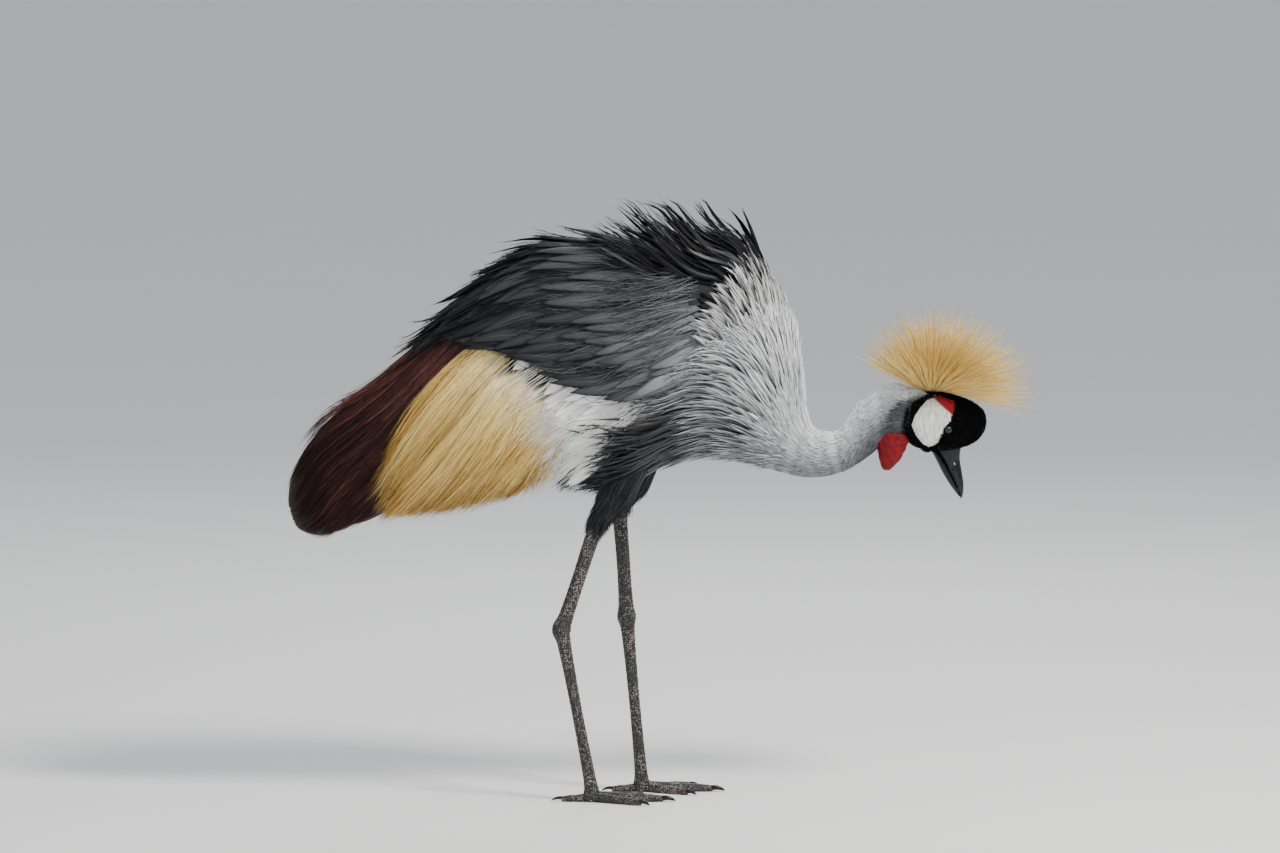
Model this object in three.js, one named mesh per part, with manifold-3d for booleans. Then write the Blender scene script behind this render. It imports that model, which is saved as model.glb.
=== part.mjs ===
// Grey crowned crane, life size, foraging: the neck is lowered, the bill points at the ground.
// Millimetres. +X runs forward, from tail to chest, +Y to the bird's left and +Z up.
// The bird's plane of symmetry is called the profile plane. A loft is described by ribs across it:
// each rib is a straight line from the upper outline to the lower one, with half the width there.
import * as THREE from "three";
import { mergeVertices } from "three/addons/utils/BufferGeometryUtils.js";
import Module from "manifold-3d";

const wasm = await Module();
wasm.setup();

// Clearance between pieces that touch.
const GAP = 0.3;

// Ribs: upper outline x, z, lower outline x, z, half width. The neck and torso, head end first.
const BODY_RIBS = [
  [351.6, 495.6, 343.2, 435.6, 21],
  [324, 501.6, 320.4, 430.8, 23],
  [290.4, 482.4, 309.6, 421.2, 23],
  [273.6, 459.6, 290.4, 406.8, 22],
  [261.6, 444, 267.6, 393.6, 23],
  [244.8, 442.8, 240, 387.6, 25],
  [229.2, 451.2, 211.2, 388.8, 30],
  [220.8, 477.6, 177.6, 398.4, 42],
  [216, 522, 141.6, 406.8, 60],
  [201.6, 585.6, 102, 411.6, 80],
  [174, 636, 72, 406.8, 92],
  [138, 657.6, 42, 398.4, 98],
  [84, 645.6, 12, 391.2, 97],
  [24, 643.2, -24, 392.4, 94],
  [-48, 636, -72, 405.6, 88],
  [-120, 612, -120, 422.4, 76],
  [-180, 570, -165.6, 441.6, 58],
  [-225.6, 525.6, -201.6, 462, 38],
  [-250, 500, -228, 470, 24],
];
// The cape is the outer surface of the two folded wings, from the wrists back to the wing tips.
const CAPE_RIBS = [
  [153.6, 645.6, 122.4, 444, 92],
  [96, 664.8, 57.6, 386.4, 106],
  [30, 672, -24, 354, 114],
  [-36, 674.4, -96, 342, 115],
  [-102, 663.6, -165.6, 333.6, 108],
  [-162, 626.4, -228, 326.4, 97],
  [-216, 578.4, -282, 321.6, 82],
  [-264, 531.6, -297.6, 324, 66],
  [-309.6, 490.8, -324, 319.2, 55],
  [-348, 460.8, -342, 313.2, 46],
  [-374.4, 428.4, -357.6, 310.8, 37],
  [-394.8, 390, -374.4, 314.4, 27],
  [-402, 360, -387.6, 322.8, 15],
];
// The head fans round from the nape to the root of the bill.
const HEAD_RIBS = [
  [351.9, 495.6, 343.5, 435.6, 21],
  [378, 490.8, 352.8, 423.6, 23],
  [410.4, 482.4, 362.4, 420, 23],
  [433.2, 469.2, 368.4, 418.8, 20],
  [438, 451.2, 370.8, 418.8, 17],
  [429.6, 434.4, 372, 418.8, 14],
  [410.4, 422.4, 373.2, 418.8, 10.5],
];
const UPPER_BILL_RIBS = [
  [408.6, 421.9, 380, 419.1, 9],
  [407.6, 409.2, 387.9, 407, 7.6],
  [409.8, 394.8, 395.1, 393.7, 6.2],
  [412, 380.4, 401.7, 380.4, 4.8],
  [411.8, 368.4, 407.1, 369, 3],
  [409.8, 361.2, 409, 361.4, 1],
];
const LOWER_BILL_RIBS = [
  [379.4, 419, 373.6, 418.4, 8.6],
  [387.3, 406.6, 380.4, 405.8, 7],
  [394.5, 393.4, 387, 393, 5.6],
  [401.1, 380.2, 394.8, 380, 4.2],
  [406.4, 368.8, 402.6, 369.4, 2.6],
  [408.2, 363.6, 407.4, 363.6, 1],
];

// The front edge of the folded wing, seen from the side, is the line z = x + WING_EDGE.
const WING_EDGE = 450;
// How far the torso lies inside the outline of its feathers, at the neck and behind it.
const TORSO_INSET = { neck: 3, body: 10, from: 6.3, to: 8 };
const NECK_SPLIT = 3.4;
const NECK_END = 6.3;

const COLOURS = {
  velvet: ["#0b0b0d", 0.95],
  bareWhite: ["#e6e6de", 0.6],
  bareRed: ["#b3121f", 0.55],
  horn: ["#1d2026", 0.35],
  iris: ["#9fb0b4", 0.1],
  straw: ["#d9a441", 0.7],
  pearl: ["#aeb4b8", 0.85],
  paleGrey: ["#9a9ea2", 0.85],
  slate: ["#51555b", 0.75],
  ink: ["#17181c", 0.7],
  white: ["#f1efe8", 0.85],
  gold: ["#d8ac55", 0.8],
  chestnut: ["#3a1715", 0.75],
  scale: ["#34302d", 0.6],
};

// Geometry helpers

const radians = THREE.MathUtils.degToRad;
const lerp = THREE.MathUtils.lerp;
const clamp = THREE.MathUtils.clamp;
const vec = (x, y, z) => new THREE.Vector3(x, y, z);

// A value from a row of values, smooth between them (Catmull-Rom). Each value is a list.
function spline(rows, t) {
  const last = rows.length - 1;
  const i = clamp(Math.floor(t), 0, last - 1);
  const f = t - i;
  const [a, b, c, d] = [i - 1, i, i + 1, i + 2].map((k) => rows[clamp(k, 0, last)]);
  return b.map((_, k) => {
    const slopeIn = (c[k] - a[k]) / 2;
    const slopeOut = (d[k] - b[k]) / 2;
    const rise = b[k] - c[k];
    return b[k] + f * (slopeIn + f * (-3 * rise - 2 * slopeIn - slopeOut
      + f * (2 * rise + slopeIn + slopeOut)));
  });
}

// A straight-line reading of [[t, value], ...].
function ramp(points, t) {
  const k = points.findIndex(([at]) => at > t);
  if (k === 0) return points[0][1];
  if (k < 0) return points[points.length - 1][1];
  const [t0, v0] = points[k - 1];
  const [t1, v1] = points[k];
  return lerp(v0, v1, (t - t0) / (t1 - t0));
}

// A closed skin over ribs. t counts ribs and phi is the angle from the upper outline.
class RibLoft {
  constructor(ribs) {
    this.ribs = ribs;
    this.last = ribs.length - 1;
  }

  frame(t) {
    const [ux, uz, lx, lz, half] = spline(this.ribs, t);
    const axis = vec((ux - lx) / 2, 0, (uz - lz) / 2);
    const height = axis.length();
    return { centre: vec((ux + lx) / 2, 0, (uz + lz) / 2), axis: axis.normalize(), height, half };
  }

  // The point at t and phi degrees, grow millimetres outside the skin; side is 1 left, -1 right.
  point(t, phi, grow = 0, side = 1) {
    const { centre, axis, height, half } = this.frame(t);
    const angle = radians(phi);
    const deep = Math.max(height + grow, 0.4);
    const wide = Math.max(half + grow, 0.4);
    return centre.addScaledVector(axis, deep * Math.cos(angle))
      .add(vec(0, side * wide * Math.sin(angle), 0));
  }

  // The outward direction at t and phi.
  normal(t, phi, side = 1) {
    const step = 0.02;
    const t0 = clamp(t, step, this.last - step);
    const along = this.point(t0 + step, phi, 0, side).sub(this.point(t0 - step, phi, 0, side));
    const around = this.point(t0, phi + 1, 0, side).sub(this.point(t0, phi - 1, 0, side));
    const out = along.cross(around).normalize();
    const away = this.point(t0, phi, 0, side).sub(this.frame(t0).centre);
    return out.dot(away) < 0 ? out.negate() : out;
  }

  // Feathers lie closer together where the skin is narrow.
  depthScale(t) {
    return clamp(this.frame(t).half / 48, 0.15, 1);
  }

  // The t and phi whose point lies at x, z in the profile plane.
  locate(x, z) {
    const miss = (t) => {
      const { centre, axis } = this.frame(t);
      return (x - centre.x) * axis.z - (z - centre.z) * axis.x;
    };
    const steps = 8 * this.last;
    let low = 0;
    for (let k = 1; k <= steps; k += 1) {
      const t = (k * this.last) / steps;
      if (miss(low) * miss(t) <= 0) {
        let high = t;
        for (let n = 0; n < 24; n += 1) {
          const mid = (low + high) / 2;
          if (miss(low) * miss(mid) <= 0) high = mid;
          else low = mid;
        }
        break;
      }
      low = t;
    }
    const { centre, axis, height } = this.frame(low);
    const share = ((x - centre.x) * axis.x + (z - centre.z) * axis.z) / height;
    return { t: low, phi: THREE.MathUtils.radToDeg(Math.acos(clamp(share, -0.999, 0.999))) };
  }

  // One ring of points round the skin.
  ring(t, sides, grow = 0) {
    return Array.from({ length: sides }, (_, k) => this.point(t, (360 * k) / sides, grow));
  }
}

const body = new RibLoft(BODY_RIBS);
const cape = new RibLoft(CAPE_RIBS);
const skull = new RibLoft(HEAD_RIBS);

function geometryOf(points, triangles) {
  const geometry = new THREE.BufferGeometry().setFromPoints(points);
  geometry.setIndex(triangles);
  return geometry;
}

// A closed solid through rings of points that turn the same way; an end ring may be one point.
// Opposite faces are split along like diagonals, so that a thin curved vane keeps its thickness.
function tube(rings) {
  const points = rings.flat();
  const sides = Math.max(...rings.map((ring) => ring.length));
  const starts = [];
  rings.reduce((at, ring) => (starts.push(at), at + ring.length), 0);
  const triangles = [];
  for (let i = 0; i + 1 < rings.length; i += 1) {
    const corner = (row, k) => starts[row] + (rings[row].length === 1 ? 0 : k % sides);
    for (let k = 0; k < sides; k += 1) {
      const [a, b] = [corner(i, k), corner(i, k + 1)];
      const [c, d] = [corner(i + 1, k + 1), corner(i + 1, k)];
      if (k < sides / 2) triangles.push(a, b, c, a, c, d);
      else triangles.push(a, b, d, b, c, d);
    }
  }
  const cap = (start, reverse) => {
    for (let k = 1; k + 1 < sides; k += 1) {
      triangles.push(start, start + (reverse ? k : k + 1), start + (reverse ? k + 1 : k));
    }
  };
  if (rings[0].length > 1) cap(starts[0], false);
  if (rings.at(-1).length > 1) cap(starts.at(-1), true);
  return geometryOf(points, triangles);
}

// A closed plate between two grids of points, outer and inner, [row][column].
function plateBetween(outer, inner) {
  const rows = outer.length;
  const columns = outer[0].length;
  const points = [...outer.flat(), ...inner.flat()];
  const at = (layer, r, c) => layer * rows * columns + r * columns + c;
  const triangles = [];
  const quad = (a, b, c, d) => triangles.push(a, b, c, a, c, d);
  for (let r = 0; r + 1 < rows; r += 1) {
    for (let c = 0; c + 1 < columns; c += 1) {
      quad(at(0, r, c), at(0, r + 1, c), at(0, r + 1, c + 1), at(0, r, c + 1));
      triangles.push(
        at(1, r, c), at(1, r + 1, c + 1), at(1, r + 1, c),
        at(1, r, c), at(1, r, c + 1), at(1, r + 1, c + 1),
      );
    }
    quad(at(0, r + 1, 0), at(0, r, 0), at(1, r, 0), at(1, r + 1, 0));
    quad(at(0, r, columns - 1), at(0, r + 1, columns - 1), at(1, r + 1, columns - 1), at(1, r, columns - 1));
  }
  for (let c = 0; c + 1 < columns; c += 1) {
    quad(at(0, 0, c), at(0, 0, c + 1), at(1, 0, c + 1), at(1, 0, c));
    quad(at(0, rows - 1, c + 1), at(0, rows - 1, c), at(1, rows - 1, c), at(1, rows - 1, c + 1));
  }
  return geometryOf(points, triangles);
}

// A geometry as a solid, turned the right way out.
function solid(geometry) {
  const bare = geometry.index ? geometry.toNonIndexed() : geometry.clone();
  bare.deleteAttribute("normal");
  bare.deleteAttribute("uv");
  const merged = mergeVertices(bare, 1e-4);
  const faces = [];
  for (let i = 0; i < merged.index.count; i += 3) {
    const [a, b, c] = [0, 1, 2].map((k) => merged.index.getX(i + k));
    if (a !== b && b !== c && c !== a) faces.push(a, b, c);
  }
  const build = (triVerts) => new wasm.Manifold(new wasm.Mesh({
    numProp: 3, vertProperties: merged.attributes.position.array, triVerts: new Uint32Array(triVerts),
  }));
  const made = build(faces);
  return made.volume() < 0 ? build(faces.reverse()) : made;
}

// Joins solids, takes others away and keeps the largest closed surface that is left.
function fuse(pieces, cuts = []) {
  let made = pieces.length > 1 ? wasm.Manifold.union(pieces) : pieces[0];
  for (const cut of cuts) made = made.subtract(cut);
  return made.decompose().sort((a, b) => b.volume() - a.volume())[0];
}

// The part of a solid in front of, or behind, the wing's front edge.
const behindEdge = (piece, clear = GAP / 2) =>
  piece.trimByPlane([-Math.SQRT1_2, 0, Math.SQRT1_2], WING_EDGE * Math.SQRT1_2 + clear);
const beforeEdge = (piece, clear = GAP / 2) =>
  piece.trimByPlane([Math.SQRT1_2, 0, -Math.SQRT1_2], -WING_EDGE * Math.SQRT1_2 + clear);

const mirrored = (piece) => piece.mirror([0, 1, 0]);

// Random draws that come out the same on every run (mulberry32).
function randomFrom(seed) {
  let state = seed;
  return (low, high) => {
    state = (state + 0x6d2b79f5) | 0;
    let r = Math.imul(state ^ (state >>> 15), 1 | state);
    r = (r + Math.imul(r ^ (r >>> 7), 61 | r)) ^ r;
    return lerp(low, high, ((r ^ (r >>> 14)) >>> 0) / 4294967296);
  };
}

// Outlines of a vane: share of its length, share of its width. The last is the tip.
const VANE_SHAPES = {
  broad: [[0, 0.35], [0.36, 1], [0.74, 0.84], [1, 0]],
  long: [[0, 0.45], [0.3, 0.85], [0.62, 1], [0.88, 0.7], [1, 0]],
  narrow: [[0, 0.4], [0.32, 1], [0.7, 0.72], [1, 0]],
};

// One feather vane over a loft. It runs from one t, phi to another and rises from level[0]
// to level[1] above the skin; lift bends its tip off and roll turns it about its own length.
function vane(loft, {
  from, to, width, thick = 0.8, level, lift = 0, bow = 0, roll = 0, shape = "broad", side = 1, grow = 0,
}) {
  const spot = (share) => {
    const t = lerp(from[0], to[0], share);
    const phi = lerp(from[1], to[1], share) + bow * Math.sin(Math.PI * share);
    const rise = lerp(level[0], level[1], share) * loft.depthScale(t) + lift * share * share;
    return { t, phi, place: loft.point(t, phi, rise, side) };
  };
  const rings = VANE_SHAPES[shape].map(([share, wide]) => {
    const { t, phi, place } = spot(share);
    const ahead = spot(Math.min(share + 0.04, 1)).place;
    const along = ahead.sub(spot(Math.max(share - 0.04, 0)).place).normalize();
    if (wide === 0) return [place.addScaledVector(along, grow)];
    const out = loft.normal(t, phi, side);
    const across = along.clone().cross(out).normalize();
    const up = across.clone().cross(along).normalize();
    const turn = radians(roll);
    const flat = across.clone().multiplyScalar(Math.cos(turn)).addScaledVector(up, Math.sin(turn));
    const face = up.multiplyScalar(Math.cos(turn)).addScaledVector(across, -Math.sin(turn));
    const half = (width * wide) / 2 + grow;
    const deep = thick / 2 + grow;
    if (share === 0) place.addScaledVector(along, -grow);
    return [[-1, 1], [1, 1], [1, -1], [-1, -1]].map(([a, b]) =>
      place.clone().addScaledVector(flat, a * half).addScaledVector(face, b * deep));
  });
  return solid(tube(rings));
}

// A plate that follows a loft. Ranges and depths are numbers or functions of t.
function shellPatch(loft, { t0, t1, rows, phi0, phi1, columns, inner, outer }) {
  const read = (value, t) => (typeof value === "function" ? value(t) : value);
  const grid = (depth) => Array.from({ length: rows + 1 }, (_, r) => {
    const t = lerp(t0, t1, r / rows);
    return Array.from({ length: columns + 1 }, (_, c) =>
      loft.point(t, lerp(read(phi0, t), read(phi1, t), c / columns), read(depth, t)));
  });
  return solid(plateBetween(grid(outer), grid(inner)));
}

// Nodes

const crane = new THREE.Group();
crane.name = "grey_crowned_crane";
const bird = new THREE.Group();
crane.add(bird);

function addNode(name, piece, colour) {
  const mesh = piece.getMesh();
  const stride = mesh.numProp;
  const points = new Float32Array(mesh.numVert * 3);
  for (let i = 0; i < mesh.numVert; i += 1) {
    points.set(mesh.vertProperties.subarray(i * stride, i * stride + 3), i * 3);
  }
  const geometry = new THREE.BufferGeometry();
  geometry.setAttribute("position", new THREE.BufferAttribute(points, 3));
  geometry.setIndex(new THREE.BufferAttribute(mesh.triVerts, 1));
  const flat = geometry.toNonIndexed();
  flat.computeVertexNormals();
  const [hex, roughness] = COLOURS[colour];
  const material = new THREE.MeshStandardMaterial({ color: hex, roughness, metalness: 0 });
  const node = new THREE.Mesh(flat, material);
  node.name = name;
  bird.add(node);
}

// Torso and neck

const inset = (t) => -ramp([[TORSO_INSET.from, TORSO_INSET.neck], [TORSO_INSET.to, TORSO_INSET.body]], t);

function torsoSolid(grow = 0) {
  const rows = 11;
  const rings = Array.from({ length: rows + 1 }, (_, r) => {
    const t = lerp(NECK_END, body.last, r / rows);
    return body.ring(t, 12, inset(t) + grow);
  });
  return solid(tube(rings));
}

// t moves this far for one clearance along the neck at t.
function stepForGap(t) {
  const reach = body.frame(t + 0.05).centre.distanceTo(body.frame(t - 0.05).centre) / 0.1;
  return (2 * GAP) / reach;
}

function neckSolid(t0, t1, rows, grow = 0) {
  const rings = Array.from({ length: rows + 1 }, (_, r) => body.ring(lerp(t0, t1, r / rows), 14, grow));
  return solid(tube(rings));
}

const torso = torsoSolid();
const torsoGrown = torsoSolid(GAP);
const neckUpperSolid = (grow = 0) => neckSolid(0, NECK_SPLIT - stepForGap(NECK_SPLIT), 6, grow);
const neckUpper = neckUpperSolid();
const neckUpperGrown = neckUpperSolid(GAP);
const neckLowerSolid = (grow = 0) => neckSolid(NECK_SPLIT, NECK_END - stepForGap(NECK_END), 5, grow);
const neckLower = neckLowerSolid();
const neckLowerGrown = neckLowerSolid(GAP);

// The mantle is the hump of loose, upswept feathers from the neck's base over the shoulders.
const MANTLE = { t0: 7.6, t1: 12.6, core: -5, seed: 11 };
const mantleSpread = (t) => ramp([[7.6, 16], [8.6, 32], [10, 52], [12.6, 50]], t);

function mantleCore(grow = 0) {
  return shellPatch(body, {
    t0: MANTLE.t0 - grow / 30, t1: MANTLE.t1 + grow / 50, rows: 5,
    phi0: (t) => -mantleSpread(t) - grow, phi1: (t) => mantleSpread(t) + grow, columns: 5,
    inner: (t) => inset(t) - 4 - grow, outer: MANTLE.core + grow,
  });
}

// Rows of plumes on one side: t of the root, how many, length, lift of the tip.
const MANTLE_ROWS = [
  [8.1, 1, 66, 6], [8.9, 2, 84, 20], [9.7, 3, 100, 40], [10.6, 3, 118, 54], [11.5, 3, 112, 30],
];

function mantleVanes(grow = 0) {
  const draw = randomFrom(MANTLE.seed);
  return MANTLE_ROWS.flatMap(([root, count, length, lift]) => Array.from({ length: count }, (_, k) => {
    const phi = lerp(2, mantleSpread(root + 0.3) - 6, (k + 0.6) / count) + draw(-2, 2);
    const t = root + draw(-0.1, 0.1);
    const far = Math.min(tAfter(body, t, phi, length * draw(0.88, 1.12)), 13.4);
    const high = lift * draw(0.6, 1.1) * (1 - (phi / 95) ** 2);
    return vane(body, {
      from: [t, phi], to: [far, phi * 0.92], width: draw(13, 17), level: [MANTLE.core - 4, 2], lift: high,
      shape: "narrow", roll: -6, grow,
    });
  }));
}

// The t that lies a length in millimetres behind t along one phi.
function tAfter(loft, t, phi, length) {
  let [at, gone] = [t, 0];
  let last = loft.point(t, phi);
  while (gone < length && at < loft.last) {
    at += 0.05;
    const next = loft.point(at, phi);
    gone += next.distanceTo(last);
    last = next;
  }
  return Math.min(at, loft.last);
}

const bothSides = (pieces) => [...pieces, ...pieces.map(mirrored)];
const mantleGrown = wasm.Manifold.union([mantleCore(GAP), ...bothSides(mantleVanes(GAP))]);
const mantle = fuse([mantleCore(), ...bothSides(mantleVanes())], [torsoGrown]);

// The breast: long pointed locks of hackles flow from the neck's base to the wing's front edge.
const BREAST = { core: -3, start: NECK_END + 0.03, end: 15, seed: 5, reach: 3, clear: 10 };
// Rows on one side: t of the root, how many, length and width.
const HACKLE_ROWS = [
  [6.45, 3, 60, 16], [7.4, 4, 72, 19], [8.3, 5, 84, 23], [9.2, 6, 92, 26], [10.2, 5, 92, 28], [11.3, 4, 86, 28],
  [12.4, 2, 70, 28],
];

function breastCore(grow = 0) {
  const [rows, sides] = [7, 12];
  const rings = Array.from({ length: rows + 1 }, (_, r) => {
    const t = lerp(BREAST.start, BREAST.end, r / rows);
    return body.ring(t, sides, Math.max(BREAST.core, inset(t) + 1.2) + grow);
  });
  return beforeEdge(solid(tube(rings)), GAP / 2 - grow);
}

// How far a point lies in front of the wing's front edge.
const beforeWing = (point) => (point.x + WING_EDGE - point.z) * Math.SQRT1_2;

function hackles(grow = 0) {
  const draw = randomFrom(BREAST.seed);
  return HACKLE_ROWS.flatMap(([root, count, length, width], row) => Array.from({ length: count }, (_, k) => {
    const phi = 180 - (178 * (k + (row % 2 ? 0.35 : 0.65))) / count + draw(-3, 3);
    const t = root + draw(-0.1, 0.1);
    let far = tAfter(body, t, phi, length * draw(0.88, 1.12));
    while (far > t && beforeWing(body.point(far, phi, 1)) < BREAST.reach) far -= 0.05;
    const short = body.point(far, phi).distanceTo(body.point(t, phi)) < 26;
    const taken = phi < mantleSpread(t) + 8 && t > MANTLE.t0 - 0.4;
    if (taken || short || beforeWing(body.point(t, phi)) < BREAST.clear) return null;
    return vane(body, {
      from: [t, phi], to: [far, phi], width: width * draw(0.9, 1.1), level: [BREAST.core - 2.4, 5.5],
      shape: "narrow", roll: 2, grow,
    });
  })).filter(Boolean);
}

const breastGrown = wasm.Manifold.union([breastCore(GAP), ...bothSides(hackles(GAP))]);
const breast = fuse([breastCore(), ...bothSides(hackles())], [torsoGrown, mantleGrown, neckLowerGrown]);

// Wings

// Levels above the cape, in millimetres: each sort of feather lies in a layer of its own.
const WING = { top: 1.4, end: 4.8, hem: 118, arm: -30, skin: -9, seed: 21 };
// Lower edge of the slate scapulars and coverts on the cape, in degrees from the top.
const SLATE_EDGE = [[0, 84], [1, 84], [2, 103], [3, 93], [4, 79], [5, 63], [6, 40]];
const slateEdge = (t) => ramp(SLATE_EDGE, t);

function wingArm(grow = 0) {
  return shellPatch(cape, {
    t0: 0, t1: WING.end + grow / 60, rows: 6, phi0: WING.top, phi1: WING.hem + grow, columns: 5,
    inner: WING.arm, outer: WING.skin + grow,
  });
}

// Rows of vanes: t of the roots, number, first and last phi of the roots, length, turn of the tip
// in degrees of phi, lift.
const SLATE_ROWS = [
  [3.7, 4, 10, 56, 98, -2, 6], [2.8, 5, 10, 74, 104, 2, 4], [1.9, 5, 11, 82, 102, 6, 2], [1.05, 5, 18, 78, 96, 12, 0],
  [0.35, 4, 36, 74, 86, 14, 0],
];

function rowVanes(loft, rows, seed, { width, level, shape = "broad", thick, grow = 0, roll = 6.5, limit }) {
  const draw = randomFrom(seed);
  return rows.flatMap(([root, count, phi0, phi1, length, turn, lift]) => Array.from({ length: count }, (_, k) => {
    const share = count > 1 ? k / (count - 1) : 0;
    const phi = lerp(phi0, phi1, share) + draw(-1.5, 1.5);
    const t = root + draw(-0.08, 0.08);
    const wide = width * draw(0.92, 1.08);
    const far = Math.min(tAfter(loft, t, phi, length * draw(0.9, 1.12)), limit ?? loft.last);
    return vane(loft, {
      from: [t, phi], to: [far, Math.max(phi + turn * (0.4 + 0.6 * share) + draw(-1, 1), 4)], width: wide, level,
      lift: lift * draw(0.5, 1.2) * (1 - share), shape, thick, roll, grow,
    });
  }));
}

const slateVanes = (grow = 0) =>
  rowVanes(cape, SLATE_ROWS, WING.seed, { width: 40, level: [WING.skin - 2, 2], roll: 5, grow });
const aboveMidline = (piece) => piece.trimByPlane([0, 1, 0], 0.5);


const armGrown = wingArm(GAP);
const slateGrown = wasm.Manifold.union(slateVanes(GAP));

function wingSolid() {
  return fuse([aboveMidline(fuse([behindEdge(wingArm()), ...slateVanes()], [torsoGrown, mantleGrown, breastGrown]))]);
}

// A thin strip on the wing arm that holds the roots of a row of feathers.
const rootStrip = (t0, t1, phi0, phi1, rows, columns, top) => shellPatch(cape, {
  t0, t1, rows, phi0, phi1, columns, inner: WING.skin - 2, outer: top,
});

const WHITE_ROWS = [
  [2.75, 3, 88, 116, 84, 14, 0], [1.95, 4, 94, 122, 92, 12, 0], [1.2, 3, 98, 121, 92, 12, 0],
];
const whiteVanes = (grow = 0) =>
  rowVanes(cape, WHITE_ROWS, 31, { width: 33, level: [WING.skin + 1, -4.2], roll: 6, grow });
const whiteGrown = wasm.Manifold.union(whiteVanes(GAP));

function whiteSolid() {
  const strip = rootStrip(0.9, 3.3, (t) => slateEdge(t) - 4, 117, 3, 2, WING.skin + 1.8);
  return fuse([behindEdge(strip), ...whiteVanes()], [armGrown, slateGrown, breastGrown]);
}

// Plumes: the root's t and phi, the tip's t and phi.
const GOLD_PLUMES = [
  [4.72, 67, 7.2, 112], [4.66, 71, 6.9, 126], [4.55, 75, 6.6, 138], [4.43, 79, 6.25, 146], [4.3, 83, 5.95, 150],
  [4.15, 87, 5.65, 151], [4, 91, 5.35, 152], [3.85, 94, 5.05, 151], [3.7, 97, 4.75, 150], [3.55, 100, 4.4, 149],
  [3.4, 103, 4.05, 147],
];

function listedVanes(loft, list, seed, { width, level, shape = "long", thick, roll = 0, bow = 0, lift = 0, grow = 0 }) {
  const draw = randomFrom(seed);
  return list.map(([t0, phi0, t1, phi1]) => vane(loft, {
    from: [t0, phi0], to: [t1 + draw(-0.06, 0.06), phi1], width: width * draw(0.9, 1.1), level, shape, thick,
    roll, bow, lift: lift * draw(0.4, 1), grow,
  }));
}

const goldVanes = (grow = 0) =>
  listedVanes(cape, GOLD_PLUMES, 41, {
    width: 12, level: [WING.skin + 1, -4.2], shape: "narrow", roll: 8, thick: 0.7, grow,
  });
const goldGrown = wasm.Manifold.union(goldVanes(GAP));

function goldSolid() {
  const strip = rootStrip(3.36, 4.79, (t) => slateEdge(t) - 1, 102, 2, 3, WING.skin + 1.8);
  return fuse([strip, ...goldVanes()], [armGrown, slateGrown, whiteGrown]);
}

const TERTIALS = [
  [4.52, 10, 8.4, 16], [4.52, 22, 8.7, 32], [4.55, 34, 8.3, 48], [4.58, 46, 7.4, 64],
];
const tertialVanes = (grow = 0) =>
  listedVanes(cape, TERTIALS, 51, { width: 23, level: [WING.skin + 1, -2.6], roll: 5, grow });
const tertialGrown = wasm.Manifold.union(tertialVanes(GAP));

function tertialSolid() {
  const strip = rootStrip(4.42, 4.79, WING.top + 0.3, (t) => slateEdge(t) - 7, 1, 3, WING.skin + 1.8);
  return fuse([aboveMidline(fuse([strip, ...tertialVanes()]))], [armGrown, slateGrown, goldGrown]);
}

// The long drooping secondaries that hide the tail.
const SECONDARIES = [
  [4.95, 16, 11.5, 30], [4.95, 33, 11.95, 70], [5, 50, 11.9, 116], [5.05, 66, 11.3, 150], [5.1, 82, 10.1, 156],
  [5.1, 97, 8.9, 155], [5.1, 112, 7.8, 152],
];
const secondaryVanes = (grow = 0) => SECONDARIES.flatMap((entry, k) => listedVanes(cape, [entry], 61 + k, {
  width: 30, level: [-14, -9 - 0.8 * k], roll: 20, thick: 0.9, grow,
}));

function secondarySolid() {
  const strip = shellPatch(cape, {
    t0: WING.end + 0.005, t1: 5.7, rows: 1, phi0: 4, phi1: 124, columns: 5, inner: -16, outer: -12,
  });
  return aboveMidline(fuse([strip, ...secondaryVanes()], [armGrown, goldGrown, tertialGrown]));
}

const PRIMARIES = [[4.95, 78, 9.5, 118], [5, 98, 8.7, 134]];
const primaryVanes = () => listedVanes(cape, PRIMARIES, 71, { width: 26, level: [-21, -21], roll: 10, thick: 1 });
const secondaryGrown = wasm.Manifold.union([...secondaryVanes(GAP), shellPatch(cape, {
  t0: WING.end, t1: 5.71, rows: 1, phi0: 3.8, phi1: 124.2, columns: 5, inner: -16.3, outer: -11.7,
})]);

function primarySolid() {
  const strip = shellPatch(cape, {
    t0: WING.end + 0.005, t1: 5.6, rows: 1, phi0: 66, phi1: 110, columns: 2, inner: -23, outer: -18.5,
  });
  return fuse([strip, ...primaryVanes()], [armGrown, secondaryGrown]);
}

// Head

function headSolid(grow = 0, rows = 11, sides = 14) {
  const rings = Array.from({ length: rows + 1 }, (_, r) => skull.ring((skull.last * r) / rows, sides, grow));
  return solid(tube(rings));
}

function mandible(ribs, grow = 0) {
  const loft = new RibLoft(ribs);
  const rows = 8;
  const rings = Array.from({ length: rows + 1 }, (_, r) => loft.ring((loft.last * r) / rows, 10, grow));
  return solid(tube(rings));
}

const EYE = { x: 393.5, z: 446.9, radius: 5.6, sunk: 2.6 };
const NOSTRIL = { x: 401.6, z: 403.4, long: 11, high: 3.6, lean: -17 };

// The depth of the head's side at x, z in the profile plane.
function headSide(x, z) {
  const { t, phi } = skull.locate(x, z);
  return skull.point(t, phi).y;
}

function ball(radius, x, y, z, detail = 10) {
  return solid(new THREE.SphereGeometry(radius, detail, Math.round(detail * 0.7)).translate(x, y, z));
}

const eyeY = headSide(EYE.x, EYE.z) - EYE.sunk;

// The rim of the lids stands round the eye and leaves the middle of the ball bare.
const LID = { thick: 1.2, open: 3.4 };

function lidRim(side) {
  const whole = ball(EYE.radius + LID.thick, EYE.x, side * eyeY, EYE.z, 12);
  return whole.trimByPlane([0, -side, 0], -(eyeY + LID.open));
}

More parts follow.
